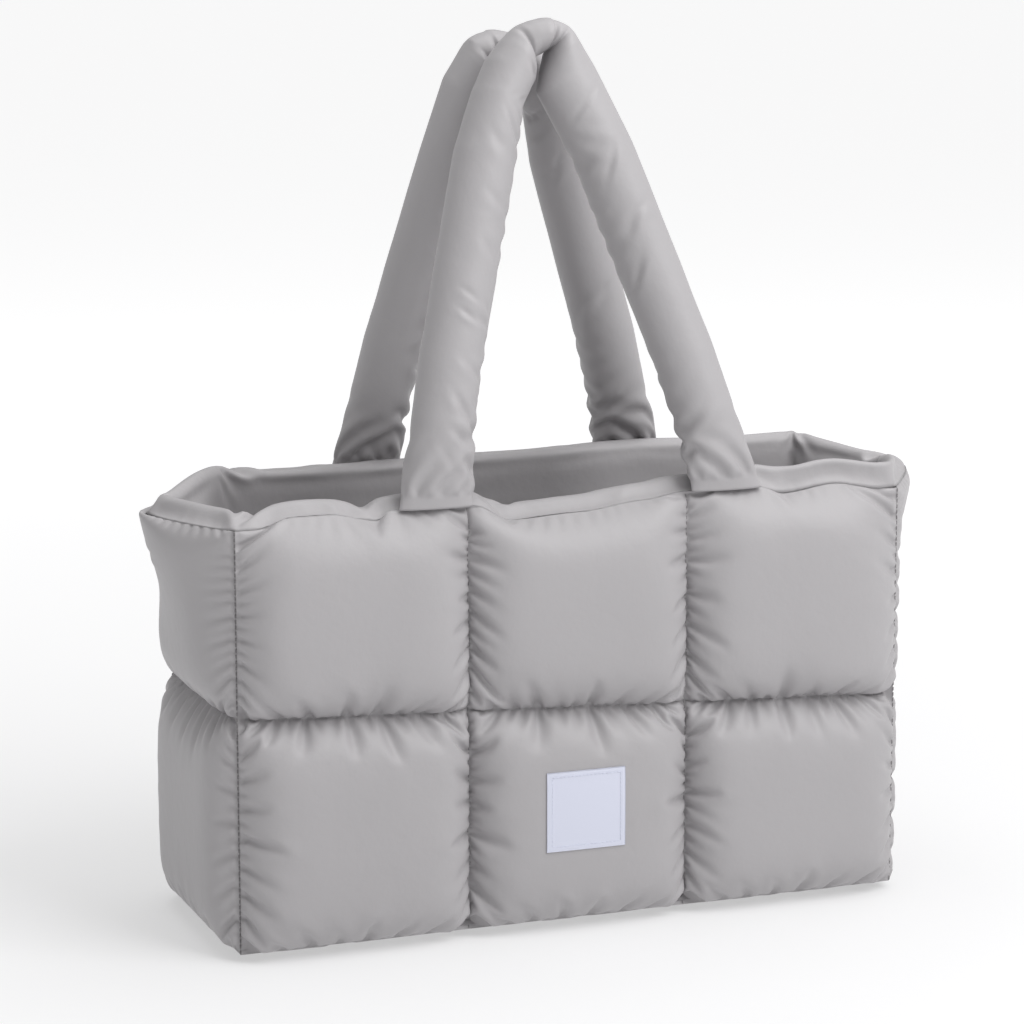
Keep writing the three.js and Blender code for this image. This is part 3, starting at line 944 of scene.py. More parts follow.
@dataclass
class PaddedWall:
    """A quilted wall: cloth that is held on its seams and blown up by its filling.

    Attributes:
        quilting: How it is quilted.
        name: The piece's name.
        cloth: Its cloth, once it is simulated.
        inside: Whether it is a lining.
        corner_gap: Between its border and the next wall's, on its side.
        foot_drop: How much lower than the base's seams an outer wall is sewn.
        ground_gap: Between its lowest cloth and the ground.
        margin: Between a puff and the plane of its seams.
        thick: Of its filling at the seams.
        back_inset: How far the back is set in from the border.
        back_rings: Sizes of the rings that the back of an end wall is made of, as shares.
    """

    quilting: Quilting
    name: str
    cloth: Cloth | None = None
    inside: bool = False
    corner_gap: float = 0.15
    foot_drop: float = 3.0
    ground_gap: float = 0.4
    margin: float = 0.2
    thick: float = 4.5
    back_inset: float = 4.0
    back_rings: tuple[float, ...] = (0.9, 0.75, 0.55, 0.3)

    def shares(self, level_cells: int) -> tuple[Array, Array]:
        """The grid's shares across and up the wall.

        Args:
            level_cells: Cells across one puff.

        Returns:
            u from 0 to 1 and v from 0 to the number of rows, as rows by columns.
        """
        q = self.quilting
        u = np.linspace(0, 1, q.columns * level_cells + 1)
        v = np.linspace(0, q.rows, q.rows * level_cells + 1)
        return np.meshgrid(u, v)

    def seam_surface(self, u: Array, v: Array) -> Array:
        """The seam surface in the wall's own directions, with its border pushed out to the corner seams.

        Args:
            u: Share across.
            v: Share up.

        Returns:
            3 by rows by columns.
        """
        q = self.quilting
        x = NET.local(q.wall, u, v)
        border = (-1 if self.inside else 1) * q.seam_out - self.corner_gap
        x[0, :, 0] -= border
        x[0, :, -1] += border
        x[1, 0] -= border + (0.0 if self.inside or q.wall is Wall.BASE else self.foot_drop)
        if q.wall is Wall.BASE:
            x[1, -1] += border
        x[2] = x[2] * (-1 if self.inside else 1) + q.seam_out
        return x

    def seam_distance(self, seams: Array) -> tuple[Array, Array]:
        """How far each point is from the nearest seam upwards and the nearest seam across.

        Args:
            seams: The seam surface.

        Returns:
            Both distances, rows by columns.
        """
        rows, cols = seams.shape[1:]
        q = self.quilting
        across = np.linspace(0, q.columns, cols)
        up = np.linspace(0, q.rows, rows)
        wide = np.ptp(seams[0]) / q.columns
        tall = np.ptp(seams[1]) / q.rows
        return np.meshgrid(np.abs(across - np.round(across)) * wide, np.abs(up - np.round(up)) * tall)

    def rumple(self, seams: Array) -> Array:
        """Makes the seams a little uneven, and sinks the places where inner seams cross.

        Each axis is moved by noise in cells of 9 mm. A crossing is sunk by tuft times e^(-d^2 / 40), where d
        is the distance from it.

        Args:
            seams: The seam surface.

        Returns:
            The changed surface.
        """
        rng = np.random.default_rng(self.quilting.seed)
        x = seams.copy()
        inner = np.zeros(x.shape[1:])
        inner[1:-1, 1:-1] = 1
        for axis, size in ((2, 0.5), (1, 0.9), (0, 0.9)):
            x[axis] += size * smooth_noise(rng, seams[1] / 9, seams[0] / 9) * inner
        across, up = self.seam_distance(seams)
        x[2] -= self.quilting.tuft * np.exp(-(across**2 + up**2) / 40) * inner
        return x

    def creases(self, seams: Array) -> Array:
        """The first small creases, which run away from the seams. They are low below the top seam.

        Args:
            seams: The seam surface.

        Returns:
            Heights.
        """
        rng = np.random.default_rng(self.quilting.seed + 50)
        across, up = self.seam_distance(seams)
        side = UPWARD_SEAM_RIDGES.heights(rng, seams, across)
        foot = LEVEL_SEAM_RIDGES.heights(rng, seams, up)
        row = np.linspace(0, self.quilting.rows, up.shape[0])[:, None]
        return side + foot * np.where(row > self.quilting.rows - 0.5, 0.3, 1.0)

    def puff_shape(self, u: Array, v: Array) -> Array:
        """The first height of the puffs: a product of two crowns, each (1 - |2t - 1|^4)^0.5 over a puff.

        Args:
            u: Share across.
            v: Share up, in puffs.

        Returns:
            Heights from 0 to 1.
        """
        crowns = []
        for place in (u * self.quilting.columns, v):
            t = place - np.floor(place)
            crowns.append((1 - np.abs(2 * t - 1) ** 4) ** 0.5)
        return crowns[0] * crowns[1]

    def bounds_at(self, x: Array, cells: int) -> CellBounds:
        """The room of each point, from the seams around its puff.

        Args:
            x: The seam surface.
            cells: Cells across one puff.

        Returns:
            The bounds.
        """
        q = self.quilting
        rows, cols = x.shape[1:]
        col = np.arange(cols)
        row = np.arange(rows)
        left = np.minimum(col // cells, q.columns - 1) * cells
        foot = np.minimum(row // cells, q.rows - 1) * cells
        on_col = (col % cells == 0) & (col > 0) & (col < cols - 1)
        on_row = (row % cells == 0) & (row > 0) & (row < rows - 1)
        margin = self.margin
        zeros = np.zeros((rows, cols))
        mitre = -1.0 if self.inside else 0.9
        top = 0.0 if self.inside else 0.25
        s_slope_low = zeros + ((left == 0) * mitre)[None, :]
        s_slope_high = zeros + ((left == (q.columns - 1) * cells) * mitre)[None, :]
        hang = 0.0 if q.wall is Wall.BASE else q.hang
        last = (foot == (q.rows - 1) * cells)[:, None]
        first = (foot == 0)[:, None]
        t_slope_low = np.where(first, mitre, hang) + zeros
        t_slope_high = np.where(last, mitre if q.wall is Wall.BASE else top, -hang) + zeros
        bounds = CellBounds(
            s_low=x[0][:, left] + margin,
            s_high=x[0][:, left + cells] - margin,
            t_low=x[1][foot] + margin,
            t_high=x[1][foot + cells] - margin,
            s_slope_low=s_slope_low,
            s_slope_high=s_slope_high,
            t_slope_low=t_slope_low,
            t_slope_high=t_slope_high,
            h_seam=x[2].copy(),
            ground=None if q.wall is Wall.BASE else self.ground_gap,
            roof=SIZES.base_lift - margin if q.wall is Wall.BASE and not self.inside else None,
        )
        bounds.s_low[:, on_col] -= 2 * margin
        bounds.t_low[on_row] -= 2 * margin
        return bounds

    def threads(self, seams: Array, v: Array) -> tuple[Array, Array]:
        """How long the cloth's threads are: the cells of the seam surface, with the spare cloth.

        Close to a seam there is more cloth along it, by gather times e^(-distance / gather_reach). In the
        upper half of the top puffs there is none of that along the level seams, and less and less spare
        cloth across.

        Args:
            seams: The seam surface.
            v: Share up, in puffs.

        Returns:
            The lengths between columns, and between rows.
        """
        q = self.quilting
        across, up = self.seam_distance(seams)
        du = lengths(np.diff(seams, axis=2))
        dv = lengths(np.diff(seams, axis=1))
        flat_u = np.broadcast_to(np.median(du), du.shape)
        gather = q.gather * np.where(v > q.rows - 0.5, 0.0, 0.7)[:, 1:] * np.exp(-up[:, 1:] / q.gather_reach)
        spare = q.spare_across * (1 - q.tight_top * smooth_step((v[:, 1:] - q.rows + 0.55) / 0.45))
        length_u = np.maximum(du, 0.5 * (du + flat_u)) * (1 + spare + gather)
        length_v = dv * (1 + q.spare_along + q.gather * np.exp(-across[1:] / q.gather_reach))
        return length_u.astype(np.float32), length_v.astype(np.float32)

    def simulate(self) -> None:
        """Blows the wall up, on finer and finer grids."""
        q = self.quilting
        rng = np.random.default_rng(q.seed)
        points = None
        for level in range(q.levels):
            cells = q.cells >> (q.levels - 1 - level)
            u, v = self.shares(cells)
            seams = self.seam_surface(u, v)
            uneven = self.rumple(seams)
            across, along = self.threads(seams, v)
            crowns = q.puff * np.where(v > 1, q.upper_share, 1.0)
            on_seam = np.zeros(u.shape, bool)
            on_seam[:, ::cells] = True
            on_seam[::cells] = True
            full = uneven.copy()
            full[2] += crowns * self.puff_shape(u, v)
            if points is None:
                points = full.copy()
            else:
                points = finer(finer(points, 1), 2)
            points = points + START_SHAKE * rng.standard_normal(points.shape)
            points[2] += q.crease * self.creases(seams)
            points[:, on_seam] = uneven[:, on_seam]
            self.cloth = Cloth(
                points=points.astype(np.float32),
                across=across,
                along=along,
                pinned=on_seam,
                creases_across=tuple(range(0, u.shape[1], cells)),
                creases_along=tuple(range(0, u.shape[0], cells)),
                cell=SIZES.width / SIZES.columns / cells,
                settings=ClothSettings(pressure=q.pressure, weight=q.weight, stiffness=q.stiffness[level]),
                keep_shape=full.astype(np.float32),
                keep=q.keep[level],
                bounds=self.bounds_at(seams, cells),
                crown=(seams[2] + crowns).astype(np.float32),
            )
            steps = q.steps[level]
            self.cloth.relax(steps)
            points = self.cloth.points.astype(float)
        LOG.info("%s: %s points", self.name, points[0].size)

    def world(self, points: Array) -> Array:
        """Points of the wall's own directions in the row frame.

        Args:
            points: 3 by anything.

        Returns:
            The same, in the row frame.
        """
        if self.inside:
            points = points * np.array([1, 1, -1]).reshape(3, *([1] * (points.ndim - 1)))
        return WALL_FRAMES[self.quilting.wall].to_world(points)

    def build(self, material: bpy.types.Material) -> bpy.types.Object:
        """Makes the closed piece: the cloth in front, and a smooth back a little behind its seams.

        The back is made of rings that shrink from the wall's border to its middle. On an end wall they follow
        the seam surface into its prow.

        Args:
            material: Its finish.

        Returns:
            The object.
        """
        assert self.cloth is not None
        q = self.quilting
        x = self.cloth.points.astype(float)
        rows, cols = x.shape[1:]
        across = np.concatenate([np.zeros((rows, 1)), np.cumsum(self.cloth.across, 1)], 1)
        along = np.concatenate([np.zeros((1, cols)), np.cumsum(self.cloth.along, 0)], 0)
        made = GridMesh(self.name)
        numbers = made.add_grid(self.world(x), uv=np.stack([across, along]))
        loop = np.concatenate([numbers[0, :-1], numbers[:-1, -1], numbers[-1, :0:-1], numbers[:0:-1, 0]])
        edge = x.reshape(3, -1)[:, loop]
        middle = edge.mean(1, keepdims=True)
        back = edge.copy()
        reach = back[:2] - middle[:2]
        back[:2] -= np.sign(reach) * np.minimum(self.back_inset, np.abs(reach) * 0.2)
        back[2] -= self.thick
        rings = [back]
        u, v = (share.ravel()[loop] for share in self.shares((cols - 1) // q.columns))
        for size in self.back_rings if q.wall in (Wall.LEFT, Wall.RIGHT) else ():
            ring = NET.local(q.wall, 0.5 + size * (u - 0.5), q.rows / 2 + size * (v - q.rows / 2))
            ring[2] = ring[2] * (-1 if self.inside else 1) + q.seam_out - self.thick
            rings.append(ring)
        before = loop
        for ring in rings:
            after = made.add_points(self.world(ring)) + np.arange(len(loop))
            made.add_strip(before, after)
            before = after
        middle[2] = rings[-1][2].mean()
        made.add_fan(before, made.add_points(self.world(middle)))
        return made.build(material)

    def seam_line(self, column: int, lift: float = 0.35) -> Array:
        """The points of one upward seam, a little above the cloth.

        Args:
            column: Which seam, counted in puffs.
            lift: How far above the cloth.

        Returns:
            3 by the number of points, in the row frame.
        """
        assert self.cloth is not None
        x = self.cloth.points.astype(float)
        cells = (x.shape[2] - 1) // self.quilting.columns
        line = x[:, :, column * cells].copy()
        line[2] += lift
        return self.world(line)


# Loops and tubes


def smooth_loop(values: Array, width: float) -> Array:
    """Smooths values round a loop with a bell curve, by their Fourier series.

    Args:
        values: Anything by the loop's points.
        width: The bell's width, in points.

    Returns:
        The smoothed values.
    """
    waves = np.fft.rfft(values, axis=-1)
    k = np.arange(waves.shape[-1])
    waves *= np.exp(-0.5 * (2 * math.pi * k * width / values.shape[-1]) ** 2)
    return np.fft.irfft(waves, n=values.shape[-1], axis=-1)


def evenly(points: Array, count: int, closed: bool = False) -> tuple[Array, Array]:
    """Points evenly spaced along a polyline.

    Args:
        points: Anything by the polyline's points, the first three rows being its place.
        count: How many are wanted.
        closed: Whether it is a loop.

    Returns:
        The new points, and the polyline's length at each.
    """
    if closed:
        points = np.concatenate([points, points[:, :1]], 1)
    length = np.concatenate([[0], np.cumsum(lengths(np.diff(points[:3], axis=1)))])
    wanted = np.linspace(0, length[-1], count, endpoint=not closed)
    return np.stack([np.interp(wanted, length, row) for row in points]), wanted


@dataclass
class FacingRim:
    """The padded facing that is folded over the rim of the mouth, as one loop.

    Attributes:
        spacing: Size of a cell.
        stations: Points round the loop.
        rounding: How much the loop is smoothed, in stations.
        lean_rounding: The same for its lean.
        hem_in: How far inside the top seam its inner hem is.
        hem_down: How far below the top seam.
        hem_share: The same as the wall's height share, 2 at the seam.
        bulge: How far its inner side stands off from the hem.
        spare: Spare cloth round the loop, as a share.
        outer_rows: The share of the rows that are on the outer side.
        outer_length: Length of the cloth down those rows, times the first shape's.
        inner_length: The same on the other rows.
        steps: Steps of the simulation.
    """

    spacing: float = 1.5
    stations: int = 824
    rounding: float = 1.6
    lean_rounding: float = 8.0
    hem_in: float = 12.5
    hem_down: float = 52.0
    hem_share: float = 1.63
    bulge: float = 5.0
    spare: float = 0.01
    outer_rows: float = 0.22
    outer_length: float = 1.22
    inner_length: float = 1.006
    steps: int = 240

    def route(self) -> tuple[Array, Array, Array]:
        """The seam round the mouth, rounded at its corners.

        Returns:
            3 by stations, the lean at each in radians, and how far the wall draws back inwards by the hem.
        """
        parts = []
        for wall, leans, backwards in (
            (Wall.FRONT, FRONT_LEANS, False),
            (Wall.RIGHT, RIGHT_LEANS, False),
            (Wall.BACK, BACK_LEANS, True),
            (Wall.LEFT, LEFT_LEANS, True),
        ):
            u = np.linspace(0, 1, 401)[:-1]
            u = 1 - u if backwards else u
            rim = NET.local(wall, u, np.full_like(u, 2.0))
            low = NET.local(wall, u, np.full_like(u, self.hem_share))
            place = WALL_FRAMES[wall].to_world(rim)
            parts.append(np.vstack([place, read_table(leans, u), np.maximum(rim[2] - low[2], 0)]))
        line, _ = evenly(np.concatenate(parts, 1), self.stations, closed=True)
        line = smooth_loop(line, self.rounding)
        return line[:3], np.radians(smooth_loop(line[3], self.lean_rounding)), line[4]

    def profile(self, lean: Array) -> Array:
        """The facing's section at each station: up from the seam, over, and down inside to the hem.

        Args:
            lean: How far the band leans in, in radians.

        Returns:
            2 by rows by stations: inwards, and up.
        """
        tall = SIZES.band_height
        flat = np.zeros_like(lean)
        top_in, top_up = 0.2 + tall * np.sin(lean), SIZES.gap + tall * np.cos(lean)
        inner = self.hem_in + self.bulge
        corners = [
            (flat - 1.7, flat + 0.1),
            (0.45 * top_in, 0.62 * top_up + 0.8),
            (top_in, top_up),
            (top_in + 4.5, top_up - 2.5),
            (0.5 * (top_in + inner) + 3.5, top_up - 11),
            (flat + inner, flat - 0.55 * self.hem_down),
            (flat + self.hem_in, flat - self.hem_down),
        ]
        knots = np.array(corners)
        share = np.array([0.0, 0.09, 0.18, 0.25, 0.38, 0.7, 1.0])
        rows = int((2 * tall + self.hem_down) / self.spacing)
        wanted = np.linspace(0, 1, rows)
        high = np.clip(np.searchsorted(share, wanted), 1, len(share) - 1)
        t = ((wanted - share[high - 1]) / (share[high] - share[high - 1]))[:, None]
        return np.stack([knots[high - 1, k] * (1 - t) + knots[high, k] * t for k in (0, 1)])

    def build(self, material: bpy.types.Material) -> bpy.types.Object:
        """Makes the facing.

        Args:
            material: Its finish.

        Returns:
            The object.
        """
        path, lean, drawn = self.route()
        wide = smooth_loop(path, 12.0)
        tangent = np.roll(wide, -1, 1) - np.roll(wide, 1, 1)
        inward = np.stack([-tangent[1], tangent[0], tangent[2] * 0])
        inward /= lengths(inward)
        up = np.array([0.0, 0.0, 1.0])[:, None]
        section = self.profile(lean)
        drawn = -np.sign(path[0]) * drawn
        first = path[:, None, :] + section[0] * inward[:, None, :] + section[1] * up[:, None, :]
        first[0] += drawn * np.clip(-section[1] / self.hem_down, 0, 1) ** 0.7
        rng = np.random.default_rng(11)
        rows, cols = first.shape[1:]
        waves = smooth_noise(rng, *np.meshgrid(np.arange(rows) / 18, np.arange(cols) / 17.0, indexing="ij"))
        points = first + 0.5 * waves + START_SHAKE * rng.standard_normal(first.shape)
        step = lengths(np.roll(path, -1, 1) - path)
        around = lengths(np.roll(first, -1, 2) - first)
        down = lengths(np.diff(first, axis=1))
        outer = (np.arange(rows - 1) < self.outer_rows * rows)[:, None]
        pinned = np.zeros((rows, cols), bool)
        pinned[[0, -1]] = True
        cloth = Cloth(
            points=points.astype(np.float32),
            across=((0.8 * around + 0.2 * np.minimum(step, around)) * (1 + self.spare)).astype(np.float32),
            along=(down * np.where(outer, self.outer_length, self.inner_length)).astype(np.float32),
            pinned=pinned,
            wraps=True,
            cell=self.spacing,
            settings=ClothSettings(pressure=-0.03, weight=0.0, stiffness=0.03),
            keep_shape=first.astype(np.float32),
            keep=0.003,
        )
        cloth.relax(self.steps)
        hidden = ((self.hem_in - 2.5, 1.5 - self.hem_down), (3.5, -2.0))
        back = np.stack([path + far * inward + high * up for far, high in hidden], 1)
        back[0, 0] += drawn
        back[0, 1] += 0.1 * drawn
        surface = np.concatenate([cloth.points, back], 1)
        made = GridMesh("rim_facing")
        across = np.broadcast_to(np.cumsum(step), (rows + 2, cols))
        along = np.broadcast_to(np.arange(rows + 2)[:, None] * self.spacing, (rows + 2, cols))
        made.add_grid(surface, wrap_rows=True, wrap_cols=True, uv=np.stack([across, along]))
        return made.build(material)


@dataclass
class TubeHandle:
    """A padded tube handle: a stuffed cloth tube that is held in the top seam at both feet.

    Attributes:
        name: The piece's name.
        face: -1 in front, 1 behind.
        spread: Between the middles of the feet.
        rise: From the top seam to the tube's middle at the top.
        shift: Of the feet, sideways.
        lean: Of the top over the feet, sideways.
        peak: Where the crown's own middle is, sideways.
        fold: 1 where the tube is folded over on its right, -1 on its left.
        reach: How far the crown reaches to its plain arm, as a share.
        spare: Spare cloth along the tube, as a share.
        dent_count: How many slanting creases it has.
        grids: Rows and columns of the coarse grid and of the fine one.
        steps: Steps of the simulation on each.
        seed: Of its unevenness.
        cloth: Its cloth, once it is simulated.
    """

    name: str
    face: float
    spread: float
    rise: float
    shift: float
    lean: float
    peak: float
    fold: float
    reach: float = 1.0
    spare: float = 0.01
    dent_count: int = 44
    grids: tuple[tuple[int, int], ...] = ((240, 42), (479, 84))
    steps: tuple[int, ...] = (200, 160)
    seed: int = 5
    cloth: Cloth | None = None

    def arch(self, count: int) -> Array:
        """The middle line, with half of its section's width as a vector.

        The arms follow the table of stations, and the top follows the table of the crown, mirrored where the
        tube is folded on its left. Rows are close together where the section turns, and on the crown.

        Args:
            count: How many stations.

        Returns:
            8 by stations: x, y, z, half width's x and z, depth share, rise share, and hold.
        """
        s = SIZES
        foot_y = self.face * (HALF_DEPTH + FOOT_OUT)
        top_y = self.face * (s.tube + s.handle_gap) * 0.5
        foot_z = s.rim_height + s.gap
        peak_z = s.rim_height + self.rise
        inner, outer = HANDLE_CROWN[:, 0:2], HANDLE_CROWN[:, 2:4]
        middle, half = (inner + outer).T / 2, (outer - inner).T / 2
        middle[0] *= np.where(middle[0] < 0, self.reach, 1.0) * self.fold
        half[0] *= self.fold
        middle += np.array([[self.peak], [peak_z]])
        rise = np.minimum((middle[1] - foot_z) / (peak_z - foot_z), 1.0)
        depth, hold = HANDLE_CROWN[:, 4:].T
        crown = np.stack([*middle, *half, depth, rise, hold])
        parts = []
        for side in (-1.0, 1.0):
            rise, spread, width, depth = HANDLE_STATIONS.T
            x = self.shift + self.lean * rise + side * spread * self.spread / 2
            z = foot_z + (peak_z - foot_z) * rise
            dx, dz = np.gradient(x), np.gradient(z)
            size = np.hypot(dx, dz)
            blend = smooth_step(rise / HANDLE_TURN)
            half_x = 0.5 * s.tube * width * side * (1 - blend + blend * dz / size)
            half_z = -0.5 * s.tube * width * side * blend * dx / size
            parts.append(np.stack([x, z, half_x, half_z, depth, rise, rise * 0]))
        top = crown if self.fold > 0 else crown[:, ::-1]
        line = np.concatenate([parts[0], top, parts[1][:, ::-1]], 1)
        for spacing, width in ((0.5, 4.0), (None, 0.0)):
            weight = (1 + 1.5 * line[6, 1:]) * np.sqrt(
                (np.diff(line[:4], axis=1) ** 2).sum(0) + (20 * np.diff(line[4])) ** 2
            )
            length = np.concatenate([[0], np.cumsum(weight)])
            wanted = np.linspace(0, length[-1], int(length[-1] / spacing) if spacing else count)
            line = np.stack([np.interp(wanted, length, row) for row in line])
            if spacing:
                window = 12
                kernel = np.exp(-0.5 * (np.arange(-window, window + 1) / width) ** 2)
                wide = np.pad(line, ((0, 0), (window, window)), mode="reflect", reflect_type="odd")
                line = np.stack([np.convolve(row, kernel / kernel.sum(), "valid") for row in wide])
        x, z, half_x, half_z, depth, rise, hold = line
        y = foot_y + (top_y - foot_y) * rise
        return np.stack([x, y, z, half_x, half_z, depth, rise, np.clip(hold, 0, 1)])

    def surface(self, rows: int, cols: int) -> tuple[Array, Array, Array]:
        """The first shape: ellipses carried along the arch, level at the feet and square on the tube above.

        Args:
            rows: Stations along.
            cols: Points round, from the outer edge.

        Returns:
            3 by rows by columns, the middle line, and how firmly each station is held.
        """
        line = self.arch(rows)
        slope = self.face * ((SIZES.tube + SIZES.handle_gap) / 2 - HALF_DEPTH - FOOT_OUT)
        across = np.array([0.0, self.rise, -slope])[:, None] / math.hypot(self.rise, slope)
        wide = np.stack([line[3], line[4] * slope / self.rise, line[4]])
        blend = smooth_step(line[6] / HANDLE_TURN)
        deep = np.array([0.0, 1.0, 0.0])[:, None] * (1 - blend) + across * blend
        deep *= 0.5 * SIZES.tube * line[5] / lengths(deep)
        angle = np.arange(cols) / cols * 2 * math.pi
        ring = wide[:, :, None] * np.cos(angle) + deep[:, :, None] * np.sin(angle)
        return line[:3, :, None] + ring, line[:3], line[7]

    def dents(self, path: Array, cols: int) -> Array:
        """Soft slanting creases on the arms, as depths.

        Each is a valley with a low lip above it that runs down towards the arm's inner edge:
        e^(-(p/L)^2) (e^(-(q/w)^2) - 0.45 e^(-((q + 1.7 w) / (1.2 w))^2)).

        Args:
            path: The middle line.
            cols: Points round.

        Returns:
            Rows by columns, in millimetres.
        """
        rng = np.random.default_rng(self.seed + 7)
        length = np.concatenate([[0], np.cumsum(lengths(np.diff(path, axis=1)))])
        below = length - length[path[2].argmax()]
        around = (np.arange(cols) / cols - 0.5) * math.pi * SIZES.tube
        count = self.dent_count
        start = np.linspace(34, below.max() - 24, count) + rng.uniform(-7, 7, count)
        arm, face = np.where(rng.random((2, count)) < 0.5, -1.0, 1.0)
        away = rng.uniform(9, 34, count)
        reach, width = rng.uniform(6, 13, count), rng.uniform(1.8, 3.4, count)
        depth, slant = rng.uniform(0.5, 1.5, count), np.radians(rng.uniform(15, 55, count))
        start, arm, face, away, reach, width, depth, slant = (
            v[:, None, None] for v in (start, arm, face, away, reach, width, depth, slant)
        )
        up = start - below[:, None] * arm
        out = around * face - away
        p = up * np.sin(slant) + out * np.cos(slant)
        q = up * np.cos(slant) - out * np.sin(slant)
        valley = np.exp(-((q / width) ** 2)) - 0.45 * np.exp(-(((q + 1.7 * width) / (1.2 * width)) ** 2))
        return (depth * np.exp(-((p / reach) ** 2)) * valley).sum(0)

    def outwards(self, surface: Array, path: Array) -> Array:
        """Unit directions away from the middle line."""
        away = surface - path[:, :, None]
        return away / lengths(away)

    def simulate(self) -> None:
        """Blows the tube up on two grids, held at its feet, on its crown and along its middle line."""
        rng = np.random.default_rng(self.seed)
        points = None
        for level, (rows, cols) in enumerate(self.grids):
            first, path, hold = self.surface(rows, cols)
            step = lengths(np.diff(first, axis=1))
            outer = step.max(1, keepdims=True)
            loose = (1 - hold)[1:, None]
            along = step + 0.3 * loose * (outer - step)
            away = np.abs(np.arange(cols) - cols // 2) / cols
            rise = np.linspace(0, 1, rows - 1)[:, None] + 0 * along
            patches = smooth_noise(np.random.default_rng(self.seed), rise * 19, rise * 0)
            uneven = np.clip(0.4 + 1.1 * patches, 0.0, 1.5)
            gathered = 0.02 * np.exp(-((away / 0.17) ** 2)) - 0.05 * np.exp(-((away / 0.02) ** 2))
            along = along * (1 + loose * (self.spare + uneven * gathered))
            ring = lengths(np.roll(first, -1, 2) - first)
            girth = ring.sum(1, keepdims=True)
            full = np.maximum(girth, 0.97 * math.pi * SIZES.tube)
            across = ring * (1 + (1 - hold)[:, None] * (full / girth - 1))
            if points is None:
                points = first.copy()
            else:
                points = finer(finer(points, 1), 2, wraps=True)
            turn = np.broadcast_to(np.arange(cols) / cols, points.shape[1:])
            rise = np.broadcast_to(np.linspace(0, 1, rows)[:, None], points.shape[1:])
            dents = smooth_noise(rng, rise * 46, turn * 2.999)
            points = points + (0.5 * dents if level == 0 else 0.0) * self.outwards(first, path)
            points = points + 0.05 * rng.standard_normal(points.shape)
            pinned = np.zeros(points.shape[1:], bool)
            held = 3 * (level + 1)
            pinned[:held] = True
            pinned[-held:] = True
            points[:, pinned] = first[:, pinned]
            self.cloth = Cloth(
                points=points.astype(np.float32),
                across=across.astype(np.float32),
                along=along.astype(np.float32),
                pinned=pinned,
                wraps=True,
                cell=3.0 / (level + 1),
                keep_shape=first.astype(np.float32),
                keep=(0.002 + 0.35 * hold[:, None] ** 3).astype(np.float32),
                path=path.astype(np.float32),
            )
            sign = np.sign((self.cloth.normals() * self.outwards(first, path)).sum())
            self.cloth.settings = ClothSettings(pressure=0.03 * float(sign), weight=0.0, stiffness=0.02)
            self.cloth.relax(self.steps[level])
            points = self.cloth.points.astype(float)
        points -= self.dents(path, cols) * self.outwards(first, path)
        self.cloth.points = points.astype(np.float32)

    def build(self, material: bpy.types.Material) -> bpy.types.Object:
        """Makes the closed tube.

        Args:
            material: Its finish.

        Returns:
            The object.
        """
        assert self.cloth is not None
        x = self.cloth.points.astype(float)
        rows, cols = x.shape[1:]
        along = np.concatenate([np.zeros((1, cols)), np.cumsum(self.cloth.along, 0)], 0)
        across = np.broadcast_to(np.arange(cols) * math.pi * SIZES.tube / cols, (rows, cols))
        made = GridMesh(self.name)
        numbers = made.add_grid(x, wrap_cols=True, uv=np.stack([across, along]))
        for row, order in ((0, slice(None, None, -1)), (rows - 1, slice(None))):
            centre = made.add_points(x[:, row].mean(1, keepdims=True))
            made.add_fan(numbers[row][order], centre)
        return made.build(material)


# Small pieces


@dataclass
class ThreadLine:
    """Rows of stitches, each a short fat capsule of thread.

    Attributes:
        name: The piece's name.
        pitch: From one stitch to the next.
        length: Of a stitch.
        radius: Of the thread.
        lines: The rows, each its points and its direction away from the cloth.
    """

    name: str
    pitch: float = 3.6
    length: float = 2.5
    radius: float = 0.28
    lines: list[tuple[Array, Array]] = field(default_factory=list)

    def add(self, points: Array, outward: Array) -> None:
        """Adds a row of stitches.

        Args:
            points: 3 by the points of the line, in millimetres.
            outward: 3, roughly away from the cloth.
        """
        self.lines.append((points, outward))

    def build(self, material: bpy.types.Material) -> bpy.types.Object:
        """Makes all the rows as one piece.

        Args:
            material: Their finish.

        Returns:
            The object.
        """
        made = GridMesh(self.name)
        sides = 6
        ring = np.arange(sides) / sides * 2 * math.pi
        spans = np.array([-0.5, -0.36, 0.36, 0.5]) * self.length
        fat = np.array([0.35, 1.0, 1.0, 0.35]) * self.radius
        for points, outward in self.lines:
            total = lengths(np.diff(points, axis=1)).sum()
            count = max(2, int(total / self.pitch))
            places, _ = evenly(points, 2 * count + 1)
            middle = places[:, 1::2]
            tangent = places[:, 2::2] - places[:, :-2:2]
            tangent /= lengths(tangent)
            side = np.cross(tangent.T, outward).T
            side /= lengths(side)
            up = np.cross(side.T, tangent.T).T
            body = (
                middle[:, :, None, None]
                + tangent[:, :, None, None] * spans[:, None]
                + (side[:, :, None, None] * np.cos(ring) + up[:, :, None, None] * np.sin(ring)) * fat[:, None]
            )
            first = made.add_points(body)
            numbers = first + np.arange(count * len(spans) * sides).reshape(count, len(spans), sides)
            after = np.roll(numbers, -1, 2)
            quads = np.stack([numbers[:, :-1], after[:, :-1], after[:, 1:], numbers[:, 1:]], -1)
            made.faces.append(quads.reshape(-1, 4))
            made.faces.append(numbers[:, 0, ::-1])
            made.faces.append(numbers[:, -1])
        return made.build(material)


